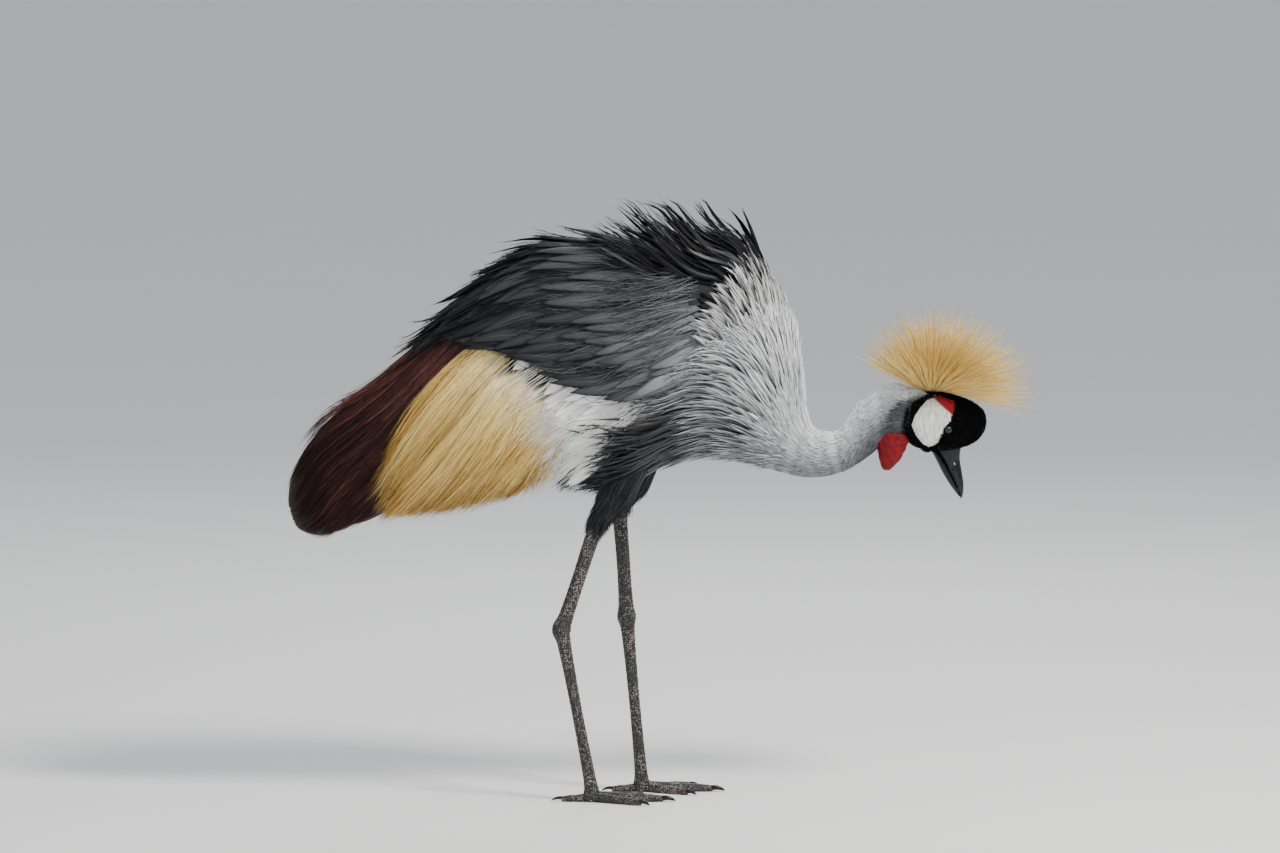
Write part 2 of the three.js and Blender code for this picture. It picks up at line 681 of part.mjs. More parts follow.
// A closed outline in the profile plane pushed through the whole head.
function profilePrism(points, depth = 60) {
  const shape = new THREE.Shape(points.map(([x, z]) => new THREE.Vector2(x, z)));
  const geometry = new THREE.ExtrudeGeometry(shape, { depth, bevelEnabled: false, curveSegments: 1 });
  return solid(geometry.rotateX(Math.PI / 2).translate(0, depth / 2, 0));
}

const CHEEK = [
  [376.3, 484.1], [387, 473.6], [398.6, 463.6], [397.7, 457.6], [391.8, 453.2], [387.2, 447.5],
  [386.6, 441], [383.4, 433], [377.4, 426.8], [370.4, 424.6], [363.5, 428], [354.8, 438.8],
  [349.3, 451.7], [353.3, 463.4], [360.2, 473.6], [368.8, 482.3],
];
const BROW = [
  [378.2, 486.2], [387, 484.8], [402.6, 479.6], [402.4, 472.6], [399.3, 464.4], [387.8, 474.1], [377.6, 484.5],
];

const head = headSolid();
const headGrown = headSolid(GAP);

function facePatch(outline, side) {
  const raised = headSolid(1.6).intersect(profilePrism(outline));
  const half = raised.trimByPlane([0, side, 0], 8);
  return fuse([half], [headGrown, ball(EYE.radius + 1.6, EYE.x, side * eyeY, EYE.z)]);
}

// The bulbs of one side of the wattle, from the fold under the cheek down to the tip:
// the middle's x, depth and z, and the three radii.
const WATTLE_BULBS = [
  [326.5, 8, 431, 17.5, 9.5, 10], [324, 9, 417, 13.5, 9.5, 10], [321, 8, 405.5, 8.5, 7, 8],
];

function wattleSolid() {
  const bulbs = [1, -1].flatMap((side) => WATTLE_BULBS.map(([x, depth, z, along, across, up]) => solid(
    new THREE.SphereGeometry(1, 8, 5).scale(along, across, up).rotateY(radians(10)).translate(x, side * depth, z),
  )));
  return fuse(bulbs, [headGrown, neckUpperGrown, headSolid(GAP + 1.7)]);
}

// The crest is a fan of stiff bristles on a small pad at the back of the crown. Its middle leans
// by lean degrees from straight ahead, and it opens by fore degrees each way and aside degrees sideways.
const CREST = {
  x: 376, z: 492, pad: [13, 11, 8], count: 88, lean: 70, fore: 84, aside: 66, seed: 81,
  reach: [[-10, 124], [76, 106], [160, 98]], thick: 1.1,
};

// A three-sided bristle from a root to a tip, bent in the middle.
function bristle(root, tip, thick, bend) {
  const along = tip.clone().sub(root).normalize();
  const across = along.clone().cross(vec(0.3, 1, 0.2)).normalize();
  const up = across.clone().cross(along);
  const ring = (place, radius) => [0, 120, 240].map((angle) => place.clone()
    .addScaledVector(across, radius * Math.cos(radians(angle)))
    .addScaledVector(up, radius * Math.sin(radians(angle))));
  const middle = root.clone().lerp(tip, 0.62).add(bend);
  return solid(tube([ring(root, thick * 0.4), ring(middle, thick * 0.42), [tip]]));
}

function crestSolid() {
  const { x, z, pad, count, lean, fore, aside, reach, thick, seed } = CREST;
  const draw = randomFrom(seed);
  const centre = vec(x, 0, z);
  const base = solid(new THREE.SphereGeometry(1, 9, 5).scale(...pad).rotateY(radians(10))
    .translate(x, 0, z));
  const bristles = Array.from({ length: count }, (_, k) => {
    const spread = Math.sqrt((k + 0.5) / count);
    const turn = 2.39996 * k;
    const ahead = spread * Math.cos(turn);
    const sideways = spread * Math.sin(turn);
    const pitch = radians(lean - ahead * fore + draw(-2.5, 2.5));
    const yaw = radians(sideways * aside + draw(-2.5, 2.5));
    const direction = vec(Math.cos(pitch) * Math.cos(yaw), Math.sin(yaw), Math.sin(pitch) * Math.cos(yaw));
    const length = ramp(reach, THREE.MathUtils.radToDeg(pitch)) * draw(0.86, 1.04) * (1 - 0.12 * Math.abs(sideways));
    const root = centre.clone().add(vec(ahead * pad[0] * 0.86, sideways * pad[1] * 0.86, 3));
    const bend = vec(draw(-2, 2), draw(-2, 2), draw(0, 3));
    return bristle(root, centre.clone().addScaledVector(direction, length), thick, bend);
  });
  return fuse([base, ...bristles], [headSolid(GAP + 1.6), neckUpperGrown]);
}

// Tail

const TAIL = { root: [-236, 496], count: 3, length: 130, width: 24, fan: 4, down: 50 };

function tailSolid() {
  const { root, count, length, width, fan, down } = TAIL;
  const base = solid(new THREE.SphereGeometry(1, 8, 5).scale(18, 20, 10).rotateY(radians(-down))
    .translate(root[0], 0, root[1]));
  const feathers = Array.from({ length: count }, (_, k) => {
    const aside = (k - (count - 1) / 2) / ((count - 1) / 2);
    const yaw = radians(aside * fan);
    const pitch = radians(down + 2 * Math.abs(aside));
    const along = vec(-Math.cos(pitch) * Math.cos(yaw), Math.sin(yaw), -Math.sin(pitch) * Math.cos(yaw));
    const up = vec(-Math.sin(pitch), 0, Math.cos(pitch)).addScaledVector(vec(0, 1, 0), 0.25 * aside).normalize();
    const across = along.clone().cross(up).normalize();
    const start = vec(root[0], aside * 7, root[1]).addScaledVector(up, -2.4 * Math.abs(aside));
    const rings = VANE_SHAPES.long.map(([share, wide]) => {
      const place = start.clone().addScaledVector(along, share * length);
      if (wide === 0) return [place];
      return [[-1, 1], [1, 1], [1, -1], [-1, -1]].map(([a, b]) => place.clone()
        .addScaledVector(across, (a * wide * width) / 2).addScaledVector(up, b * 0.45));
    });
    return solid(tube(rings));
  });
  return fuse([base, ...feathers], [torsoGrown]);
}

// Legs

// Joints of each leg, x and z, and how far each stands from the profile plane.
const LEGS = {
  right: {
    side: -1, hip: [18, 412], knee: [-4, 374], feather: [-30, 328], hock: [-70, 208], foot: [-34, 15],
    spread: [43, 46, 44],
  },
  left: {
    side: 1, hip: [32, 412], knee: [16, 378], feather: [0, 345], hock: [8, 212], foot: [26, 15],
    spread: [43, 46, 44],
  },
};
const TOES = [
  ["middle", 0, 84, 6.2, 15],
  ["inner", 30, 62, 5.6, 13],
  ["outer", -30, 66, 5.6, 13],
  ["hind", 178, 34, 5, 13],
];

// A round limb through [x, y, z, radius] stations.
function limb(stations, sides = 10, grow = 0) {
  const centres = stations.map(([x, y, z]) => vec(x, y, z));
  const rings = stations.map(([, , , radius], i) => {
    const along = centres[Math.min(i + 1, centres.length - 1)].clone()
      .sub(centres[Math.max(i - 1, 0)]).normalize();
    const across = vec(0, 1, 0).addScaledVector(along, -along.y).normalize();
    const up = along.clone().cross(across);
    return Array.from({ length: sides }, (_, k) => {
      const angle = radians((360 * k) / sides);
      return centres[i].clone().addScaledVector(across, (radius + grow) * Math.cos(angle))
        .addScaledVector(up, (radius + grow) * Math.sin(angle));
    });
  });
  return solid(tube(rings));
}

// The point a share of the way from a to b, lists of numbers.
const between = (a, b, share) => a.map((value, k) => lerp(value, b[k], share));

function legSolids({ side, hip, knee, feather, hock, foot, spread }) {
  const place = ([x, z], y) => [x, side * y, z];
  const [hipAt, kneeAt] = [place(hip, spread[0]), place(knee, spread[0])];
  const [featherAt, hockAt, footAt] = [place(feather, spread[1]), place(hock, spread[1]), place(foot, spread[2])];
  const thigh = limb([[...hipAt, 22], [...kneeAt, 21], [...between(kneeAt, featherAt, 0.5), 15], [...featherAt, 10.5]]);
  const shankTop = between(featherAt, hockAt, GAP / 125);
  const shank = limb([
    [...shankTop, 9.5], [...between(featherAt, hockAt, 0.5), 8.2], [...between(featherAt, hockAt, 0.86), 9],
  ]);
  const hockTop = between(featherAt, hockAt, 0.86 + GAP / 100);
  const tarsus = limb([
    [...hockTop, 9.2], [...hockAt, 11.5], [...between(hockAt, footAt, 0.1), 8], [...between(hockAt, footAt, 0.5), 6.6],
    [...between(hockAt, footAt, 0.92), 7.4], [footAt[0], footAt[1], 11, 10.5], [footAt[0], footAt[1], -2, 11],
  ]).trimByPlane([0, 0, 1], 0);
  const tarsusGrown = limb([
    [...between(hockAt, footAt, 0.5), 6.6], [...between(hockAt, footAt, 0.92), 7.4],
    [footAt[0], footAt[1], 11, 10.5], [footAt[0], footAt[1], -4, 11],
  ], 10, GAP);
  const thighGrown = limb([[...kneeAt, 21], [...between(kneeAt, featherAt, 0.5), 15], [...featherAt, 10.5]], 10, GAP);
  return { thigh, shank: fuse([shank], [thighGrown]), tarsus, tarsusGrown, footAt };
}

function toeStations([, bearing, length, radius], footAt, side) {
  const angle = radians(side * bearing);
  const out = (reach, z, r) => [
    footAt[0] + reach * Math.cos(angle), footAt[1] - reach * Math.sin(angle), z, r,
  ];
  return [
    out(4, 7.5, radius), out(length * 0.35, radius - 1, radius), out(length * 0.7, radius - 1.8, radius - 0.8),
    out(length, radius - 2.4, radius - 1.6),
  ];
}

function clawStations([, bearing, length, radius, claw], footAt, side) {
  const angle = radians(side * bearing);
  const out = (reach, z, r) => [
    footAt[0] + reach * Math.cos(angle), footAt[1] - reach * Math.sin(angle), z, r,
  ];
  return [out(length + GAP, 3.2, radius - 2), out(length + claw * 0.55, 3, 2), out(length + claw, 1.2, 0.5)];
}

const onFloor = (piece) => piece.trimByPlane([0, 0, 1], 0);

for (const [name, leg] of Object.entries(LEGS)) {
  const { thigh, shank, tarsus, tarsusGrown, footAt } = legSolids(leg);
  const wingAt = [armGrown, whiteGrown].map((piece) => (leg.side > 0 ? piece : mirrored(piece)));
  addNode(`thigh_${name}`, fuse([thigh], [torsoGrown, breastGrown, ...wingAt]), "ink");
  addNode(`shank_${name}`, shank, "scale");
  addNode(`tarsus_${name}`, tarsus, "scale");
  const taken = [tarsusGrown];
  for (const toe of TOES) {
    const made = onFloor(limb(toeStations(toe, footAt, leg.side), 7));
    addNode(`toe_${toe[0]}_${name}`, fuse([made], taken), "scale");
    taken.push(limb(toeStations(toe, footAt, leg.side), 7, GAP));
    addNode(`claw_${toe[0]}_${name}`, onFloor(limb(clawStations(toe, footAt, leg.side), 6)), "horn");
  }
}

addNode("torso", torso, "slate");
addNode("neck_upper", neckUpper, "pearl");
addNode("neck_lower", neckLower, "pearl");
addNode("breast", breast, "paleGrey");
addNode("mantle", mantle, "ink");
for (const [name, side] of [["left", 1], ["right", -1]]) {
  const place = (piece) => (side > 0 ? piece : mirrored(piece));
  addNode(`wing_${name}`, place(wingSolid()), "slate");
  addNode(`white_coverts_${name}`, place(whiteSolid()), "white");
  addNode(`gold_plumes_${name}`, place(goldSolid()), "gold");
  addNode(`tertials_${name}`, place(tertialSolid()), "ink");
  addNode(`secondaries_${name}`, place(secondarySolid()), "chestnut");
  addNode(`primaries_${name}`, place(primarySolid()), "ink");
  addNode(`cheek_${name}`, facePatch(CHEEK, side), "bareWhite");
  addNode(`brow_${name}`, facePatch(BROW, side), "bareRed");
  addNode(`eye_${name}`, ball(EYE.radius, EYE.x, side * eyeY, EYE.z), "iris");
}
const sockets = [1, -1].map((side) => ball(EYE.radius + GAP, EYE.x, side * eyeY, EYE.z));
addNode("head", fuse([head, lidRim(1), lidRim(-1)], sockets), "velvet");
const nostril = solid(new THREE.SphereGeometry(1, 10, 8).scale(NOSTRIL.high / 2, 20, NOSTRIL.long / 2)
  .rotateY(radians(NOSTRIL.lean)).translate(NOSTRIL.x, 0, NOSTRIL.z));
addNode("bill_upper", fuse([mandible(UPPER_BILL_RIBS)], [nostril]), "horn");
addNode("bill_lower", mandible(LOWER_BILL_RIBS), "horn");
addNode("wattle", wattleSolid(), "bareRed");
addNode("crest", crestSolid(), "straw");
addNode("tail", tailSolid(), "ink");

// The origin lies under the middle of the bird, on the floor.
const bounds = new THREE.Box3().setFromObject(bird, true);
bird.position.set(-(bounds.min.x + bounds.max.x) / 2, -(bounds.min.y + bounds.max.y) / 2, -bounds.min.z);

export default crane;
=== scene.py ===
"""Looks of a life-size grey crowned crane with its head lowered to feed.

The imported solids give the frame. One skin takes the place of the flesh, and joined meshes of
fine feathers take the place of the coarse ones. Tables are in millimetres, as the part's are,
and meshes in metres. X runs from tail to chest, Y to the bird's left and Z up.
"""

import logging
import math
from dataclasses import dataclass, field, replace
from enum import Enum
from typing import Callable, Sequence, TypeVar

import bpy
import numpy as np
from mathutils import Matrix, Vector
from mathutils.bvhtree import BVHTree

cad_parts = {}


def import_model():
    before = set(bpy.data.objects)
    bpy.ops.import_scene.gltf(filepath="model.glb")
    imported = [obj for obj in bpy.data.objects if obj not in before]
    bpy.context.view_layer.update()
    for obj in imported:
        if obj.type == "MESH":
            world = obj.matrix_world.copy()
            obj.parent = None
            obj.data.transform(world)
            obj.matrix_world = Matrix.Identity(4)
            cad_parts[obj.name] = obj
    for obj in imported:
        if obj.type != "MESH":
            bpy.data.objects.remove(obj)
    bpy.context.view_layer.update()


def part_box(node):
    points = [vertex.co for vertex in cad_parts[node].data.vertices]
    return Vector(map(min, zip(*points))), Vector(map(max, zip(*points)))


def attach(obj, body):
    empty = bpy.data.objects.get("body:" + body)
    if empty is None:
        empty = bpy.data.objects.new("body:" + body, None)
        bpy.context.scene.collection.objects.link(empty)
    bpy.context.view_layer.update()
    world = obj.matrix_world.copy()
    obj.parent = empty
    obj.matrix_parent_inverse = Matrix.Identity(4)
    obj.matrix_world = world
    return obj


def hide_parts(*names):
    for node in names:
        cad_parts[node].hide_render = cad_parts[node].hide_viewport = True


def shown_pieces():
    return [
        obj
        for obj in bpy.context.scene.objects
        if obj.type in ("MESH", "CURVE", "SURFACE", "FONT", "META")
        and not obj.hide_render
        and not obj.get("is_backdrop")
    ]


LOG = logging.getLogger("crane")
MM = 0.001
BODY = "root"
SIDES = {"left": 1.0, "right": -1.0}
Colour = tuple[float, float, float]
Array = np.ndarray
Draws = np.random.Generator
Material = bpy.types.Material
Piece = bpy.types.Object
Socket = bpy.types.NodeSocket
Numbers = Array | float
Curve = tuple[tuple[float, float], ...]
Range = tuple[float, float]
MeshData = dict[str, Array]

# Ribs across the profile plane: upper outline x, z, lower outline x, z and half width.
BODY_RIBS = (
    (351.6, 495.6, 343.2, 435.6, 21), (324, 501.6, 320.4, 430.8, 23), (290.4, 482.4, 309.6, 421.2, 23),
    (273.6, 459.6, 290.4, 406.8, 22), (261.6, 444, 267.6, 393.6, 23), (244.8, 442.8, 240, 387.6, 25),
    (229.2, 451.2, 211.2, 388.8, 30), (220.8, 477.6, 177.6, 398.4, 42), (216, 522, 141.6, 406.8, 60),
    (201.6, 585.6, 102, 411.6, 80), (174, 636, 72, 406.8, 92), (138, 657.6, 42, 398.4, 98),
    (84, 645.6, 12, 391.2, 97), (24, 643.2, -24, 392.4, 94), (-48, 636, -72, 405.6, 88),
    (-120, 612, -120, 422.4, 76), (-180, 570, -165.6, 441.6, 58), (-225.6, 525.6, -201.6, 462, 38),
    (-250, 500, -228, 470, 24),
)
CAPE_RIBS = (
    (153.6, 645.6, 122.4, 444, 92), (96, 664.8, 57.6, 386.4, 106), (30, 672, -24, 354, 114),
    (-36, 674.4, -96, 342, 115), (-102, 663.6, -165.6, 333.6, 108), (-162, 626.4, -228, 326.4, 97),
    (-216, 578.4, -282, 321.6, 82), (-264, 531.6, -297.6, 324, 66), (-309.6, 490.8, -324, 319.2, 55),
    (-348, 460.8, -342, 313.2, 46), (-374.4, 428.4, -357.6, 310.8, 37), (-394.8, 390, -374.4, 314.4, 27),
    (-402, 360, -387.6, 322.8, 15),
)
HEAD_RIBS = (
    (351.9, 495.6, 343.5, 435.6, 21), (378, 490.8, 352.8, 423.6, 23), (410.4, 482.4, 362.4, 420, 23),
    (433.2, 469.2, 368.4, 418.8, 20), (438, 451.2, 370.8, 418.8, 17), (429.6, 434.4, 372, 418.8, 14),
    (410.4, 422.4, 373.2, 418.8, 10.5),
)
UPPER_BILL_RIBS = (
    (408.6, 421.9, 380, 419.1, 9), (407.6, 409.2, 387.9, 407, 7.6), (409.8, 394.8, 395.1, 393.7, 6.2),
    (412, 380.4, 401.7, 380.4, 4.8), (411.8, 368.4, 407.1, 369, 3), (409.8, 361.2, 409, 361.4, 1),
)
LOWER_BILL_RIBS = (
    (379.4, 419, 373.6, 418.4, 8.6), (387.3, 406.6, 380.4, 405.8, 7), (394.5, 393.4, 387, 393, 5.6),
    (401.1, 380.2, 394.8, 380, 4.2), (406.4, 368.8, 402.6, 369.4, 2.6), (408.2, 363.6, 407.4, 363.6, 1),
)
CHEEK_OUTLINE = (
    (376.3, 484.1), (387, 473.6), (398.6, 463.6), (397.7, 457.6), (391.8, 453.2), (387.2, 447.5),
    (386.6, 441), (383.4, 433), (377.4, 426.8), (370.4, 424.6), (363.5, 428), (354.8, 438.8),
    (349.3, 451.7), (353.3, 463.4), (360.2, 473.6), (368.8, 482.3),
)
BROW_OUTLINE = (
    (378.2, 486.2), (387, 484.8), (402.6, 479.6), (402.4, 472.6), (399.3, 464.4), (387.8, 474.1),
    (377.6, 484.5),
)
# Where the skin is pale, under the white and golden feathers.
PANEL_OUTLINE = (
    (-168, 530), (-84, 496), (-36, 474), (30, 470), (70, 500), (-77, 372), (-168, 362), (-262, 352),
    (-262, 436),
)
# The front edge of the folded wing is the line z = x + WING_EDGE in the profile plane.
WING_EDGE = 450.0
# The right eye's place in the tables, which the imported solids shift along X.
EYE_X = 393.5
EYE_RADIUS = 5.6
# Cells of a scatter: how many for each 1 of t, and how many degrees of phi each spans.
CELLS_ALONG = 24
CELL_DEGREES = 2
# Half width in millimetres from which feathers lie at their full depth.
FULL_DEPTH_HALF = 48
# Half the width and the length of each feather's patch on the bake map, and the map's margin.
PATCH = (0.0014, 0.0028)
MAP_MARGIN = 0.01


def table(rows: Sequence[Sequence[float]]) -> Array:
    """A table in millimetres as an array in metres."""
    return np.array(rows, float) * MM


def unit(vectors: Array) -> Array:
    """The vectors made one long."""
    return vectors / np.maximum(np.linalg.norm(vectors, axis=-1, keepdims=True), 1e-12)


def smooth(low: float, high: float, value: Array) -> Array:
    """0 below low, 1 above high and a smooth rise between them."""
    share = np.clip((value - low) / (high - low), 0, 1)
    return share * share * (3 - 2 * share)


def curve(points: Sequence[tuple[float, float]], at: Array) -> Array:
    """A straight-line reading of (place, value) points."""
    places, values = zip(*points)
    return np.interp(at, places, values)


class Surface:
    """A closed skin: t runs along it and phi, in degrees, round it."""

    last: float

    def middle(self, t: Array) -> Array:
        """The centre line's points at t."""
        raise NotImplementedError

    def half(self, t: Array) -> Array:
        """Half the width at t."""
        raise NotImplementedError

    def point(self, t: Numbers, phi: Numbers, rise: Numbers = 0.0, side: Numbers = 1.0) -> Array:
        """Points on the surface or above it.

        Args:
            t: Places along the surface.
            phi: Angles round it, in degrees.
            rise: Metres above it.
            side: 1 on the left and -1 on the right.

        Returns:
            The points, with x, y, z on the last axis.
        """
        raise NotImplementedError

    def normal(self, t: Array, phi: Array, side: Numbers = 1.0) -> Array:
        """The outward directions at places on the surface.

        Args:
            t: Places along the surface.
            phi: Angles round it, in degrees.
            side: 1 on the left and -1 on the right.

        Returns:
            Vectors that are one long.
        """
        step = 0.02
        t = np.clip(t, step, self.last - step)
        along = self.point(t + step, phi, 0, side) - self.point(t - step, phi, 0, side)
        around = self.point(t, phi + 1, 0, side) - self.point(t, phi - 1, 0, side)
        out = unit(np.cross(along, around))
        away = self.point(t, phi, 0, side) - self.middle(t)
        return np.where((out * away).sum(-1, keepdims=True) < 0, -out, out)

    def depth_scale(self, t: Array) -> Array:
        """How closely feathers lie where the surface is narrow, from 0.15 to 1."""
        return np.clip(self.half(t) / (FULL_DEPTH_HALF * MM), 0.15, 1)

    def after(self, t: Array, phi: Array, length: Numbers) -> Array:
        """The places that lie some way behind others.

        Args:
            t: The places to start from.
            phi: Angles round the surface, which stay the same.
            length: Metres to go, below 0 for places in front.

        Returns:
            The t of the places.
        """
        at = np.array(t, float)
        gone = np.zeros_like(at)
        step = 0.05 * np.sign(length)
        last = self.point(at, phi)
        for _ in range(240):
            moving = (gone < np.abs(length)) & (at < self.last) & (at > 0)
            if not moving.any():
                break
            at = np.where(moving, np.clip(at + step, 0, self.last), at)
            here = self.point(at, phi)
            gone += np.linalg.norm(here - last, axis=-1)
            last = here
        return at

    def scatter(self, draw: Draws, t_range: Range, phi_range: Range, area: float) -> tuple[Array, Array]:
        """Even but irregular places over a stretch of one side of the surface.

        Args:
            draw: The random draws.
            t_range: First and last t.
            phi_range: First and last phi.
            area: The skin that each place has, in square millimetres.

        Returns:
            The t and phi of each place.
        """
        rows = int((t_range[1] - t_range[0]) * CELLS_ALONG) + 1
        columns = int((phi_range[1] - phi_range[0]) / CELL_DEGREES) + 1
        t_edges = np.linspace(*t_range, rows + 1)
        phi_edges = np.linspace(*phi_range, columns + 1)
        t_middles = (t_edges[:-1] + t_edges[1:]) / 2
        phi_middles = (phi_edges[:-1] + phi_edges[1:]) / 2
        t, phi = np.meshgrid(t_middles, phi_middles, indexing="ij")
        dt = (t_edges[1] - t_edges[0]) / 2
        dphi = (phi_edges[1] - phi_edges[0]) / 2
        before, behind = (np.clip(t + step, 0, self.last) for step in (-dt, dt))
        along = self.point(behind, phi) - self.point(before, phi)
        around = self.point(t, phi + dphi) - self.point(t, phi - dphi)
        cell = np.linalg.norm(np.cross(along, around), axis=-1) / (area * MM * MM)
        count = np.floor(cell + draw.random(cell.shape)).astype(int).ravel()
        t = np.repeat(t.ravel(), count)
        phi = np.repeat(phi.ravel(), count)
        return t + draw.uniform(-dt, dt, len(t)), phi + draw.uniform(-dphi, dphi, len(phi))

    def grid(self, t: Array, columns: int, rise: Array) -> Array:
        """Rings of points round the surface, one row for each t."""
        phi = np.linspace(0, 360, columns, endpoint=False)
        return self.point(np.asarray(t)[:, None], phi[None, :], np.broadcast_to(rise, (len(t),))[:, None])


def between(rows: Array, t: Array) -> Array:
    """Rows of numbers read smoothly between one another (Catmull-Rom).

    Args:
        rows: The rows.
        t: Where to read, in rows from the first.

    Returns:
        A row of numbers for each t.
    """
    t = np.asarray(t, float)
    last = len(rows) - 1
    row = np.clip(np.floor(t).astype(int), 0, last - 1)
    share = (t - row)[..., None]
    before, start, end, behind = (rows[np.clip(row + k, 0, last)] for k in (-1, 0, 1, 2))
    slope_in = (end - before) / 2
    slope_out = (behind - start) / 2
    rise = start - end
    bend = 2 * rise + slope_in + slope_out
    return start + share * (slope_in + share * (-3 * rise - 2 * slope_in - slope_out + share * bend))


class RibLoft(Surface):
    """A skin over ribs: t counts the ribs and phi is the angle from the upper outline."""

    def __init__(self, ribs: Sequence[Sequence[float]], shift: float) -> None:
        """Keeps the ribs in metres.

        Args:
            ribs: Upper x, z, lower x, z and half width of each rib, in millimetres.
            shift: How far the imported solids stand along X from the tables, in metres.
        """
        self.ribs = table(ribs)
        self.ribs[:, [0, 2]] += shift
        self.last = len(ribs) - 1

    def frame(self, t: Array) -> tuple[Array, Array, Array, Array]:
        """The ribs at t.

        Args:
            t: Places along the loft.

        Returns:
            Their centres, unit axes, half heights and half widths.
        """
        value = between(self.ribs, t)
        axis = (value[..., 0:2] - value[..., 2:4]) / 2
        height = np.linalg.norm(axis, axis=-1)
        centre = (value[..., 0:2] + value[..., 2:4]) / 2
        return centre, axis / height[..., None], height, value[..., 4]

    def middle(self, t: Array) -> Array:
        """The centre line's points at t."""
        centre = self.frame(t)[0]
        return np.stack([centre[..., 0], np.zeros_like(centre[..., 0]), centre[..., 1]], -1)

    def half(self, t: Array) -> Array:
        """Half the width at t."""
        return self.frame(t)[3]

    def point(self, t: Numbers, phi: Numbers, rise: Numbers = 0.0, side: Numbers = 1.0) -> Array:
        """Points on the loft or above it.

        Args:
            t: Place along the stations.
            phi: Angle in degrees.
            rise: Height above the surface, in metres.
            side: Factor on the half width; -1 mirrors.

        Returns:
            The points.
        """
        t, phi, rise, side = np.broadcast_arrays(t, phi, rise, side)
        centre, axis, height, half = self.frame(t)
        angle = np.radians(phi)
        deep = np.maximum(height + rise, 0.4 * MM) * np.cos(angle)
        wide = np.maximum(half + rise, 0.4 * MM) * np.sin(angle) * side
        x, z = (centre[..., k] + axis[..., k] * deep for k in (0, 1))
        return np.stack([x, wide, z], -1)


class Limb(Surface):
    """A round limb through stations of x, y, z and radius; phi is the angle from its front."""

    def __init__(self, stations: Sequence[Sequence[float]], shift: float) -> None:
        """Keeps the stations in metres.

        Args:
            stations: Centre and radius of each station, in millimetres.
            shift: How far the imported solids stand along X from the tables, in metres.
        """
        self.stations = table(stations)
        self.stations[:, 0] += shift
        self.last = len(stations) - 1

    def middle(self, t: Array) -> Array:
        """The centre line's points at t."""
        return between(self.stations, t)[..., :3]

    def half(self, t: Array) -> Array:
        """The radius at t."""
        return between(self.stations, t)[..., 3]

    def point(self, t: Numbers, phi: Numbers, rise: Numbers = 0.0, side: Numbers = 1.0) -> Array:
        """Points on the limb or above it.

        Args:
            t: Place along the stations.
            phi: Angle in degrees.
            rise: Height above the surface, in metres.
            side: Factor on the half width; -1 mirrors.

        Returns:
            The points.
        """
        t, phi, rise, side = np.broadcast_arrays(t, phi, rise, side)
        step = 0.05
        ahead = self.middle(np.minimum(t + step, self.last)) - self.middle(np.maximum(t - step, 0))
        along = unit(ahead)
        across = unit(np.array([0.0, 1.0, 0.0]) - along * along[..., 1:2])
        front = np.cross(along, across)
        angle = np.radians(phi)[..., None]
        radius = np.maximum(self.half(t) + rise, 0.2 * MM)[..., None]
        return self.middle(t) + (front * np.cos(angle) + across * np.sin(angle) * side[..., None]) * radius


class Section(Enum):
    """Cross-sections of a strand: share of half the width, share of half the thickness."""

    BRISTLE = ((-0.87, -0.5), (0, 1), (0.87, -0.5))
    BLADE = ((-1, 0), (0, 1), (1, 0), (0, -1))
    VANE = ((-1, 0), (-0.5, 0.9), (-0.06, 1.2), (0.06, 1.2), (0.5, 0.9), (1, 0), (0, -1))


class Outline(Enum):
    """Outlines of a feather: share of its length, share of its width."""

    HAIR = ((0, 0.8), (0.3, 1), (0.75, 0.7), (1, 0.15))
    LANCE = ((0, 0.35), (0.12, 0.75), (0.35, 1), (0.6, 0.85), (0.85, 0.4), (1, 0.05))
    LEAF = ((0, 0.4), (0.15, 0.78), (0.38, 1), (0.6, 0.93), (0.8, 0.6), (0.93, 0.25), (1, 0.03))
    LONG = ((0, 0.3), (0.15, 0.7), (0.4, 0.9), (0.65, 1), (0.82, 0.88), (0.93, 0.6), (1, 0.15))
    TUFT = ((0, 0.9), (0.5, 1), (1, 0.2))


@dataclass(frozen=True)
class Cut:
    """The shape of feathers of one sort.

    Thick is their thickness and loose how far their tips stray, in millimetres. Camber is how far
    their edges bend towards the skin, as a share of the width, and roll how many degrees each is
    turned about its length, give or take.
    """

    stations: int
    section: Section
    outline: Outline
    thick: float
    camber: float = 0.15
    roll: float = 0.0
    loose: float = 0.0


def ring_faces(rows: int, columns: int) -> Array:
    """Faces between rings of points that follow one another.

    Args:
        rows: How many rings there are.
        columns: How many points each has.

    Returns:
        Four corners a row.
    """
    row, column = np.meshgrid(np.arange(rows - 1), np.arange(columns), indexing="ij")
    here = row * columns
    ahead = here + columns
    following = (column + 1) % columns
    return np.stack([here + column, here + following, ahead + following, ahead + column], -1).reshape(-1, 4)


def fan(ring: Array, tip: int) -> Array:
    """Triangles from each side of a ring to one point."""
    return np.stack([ring, np.roll(ring, -1), np.full(len(ring), tip)], -1)


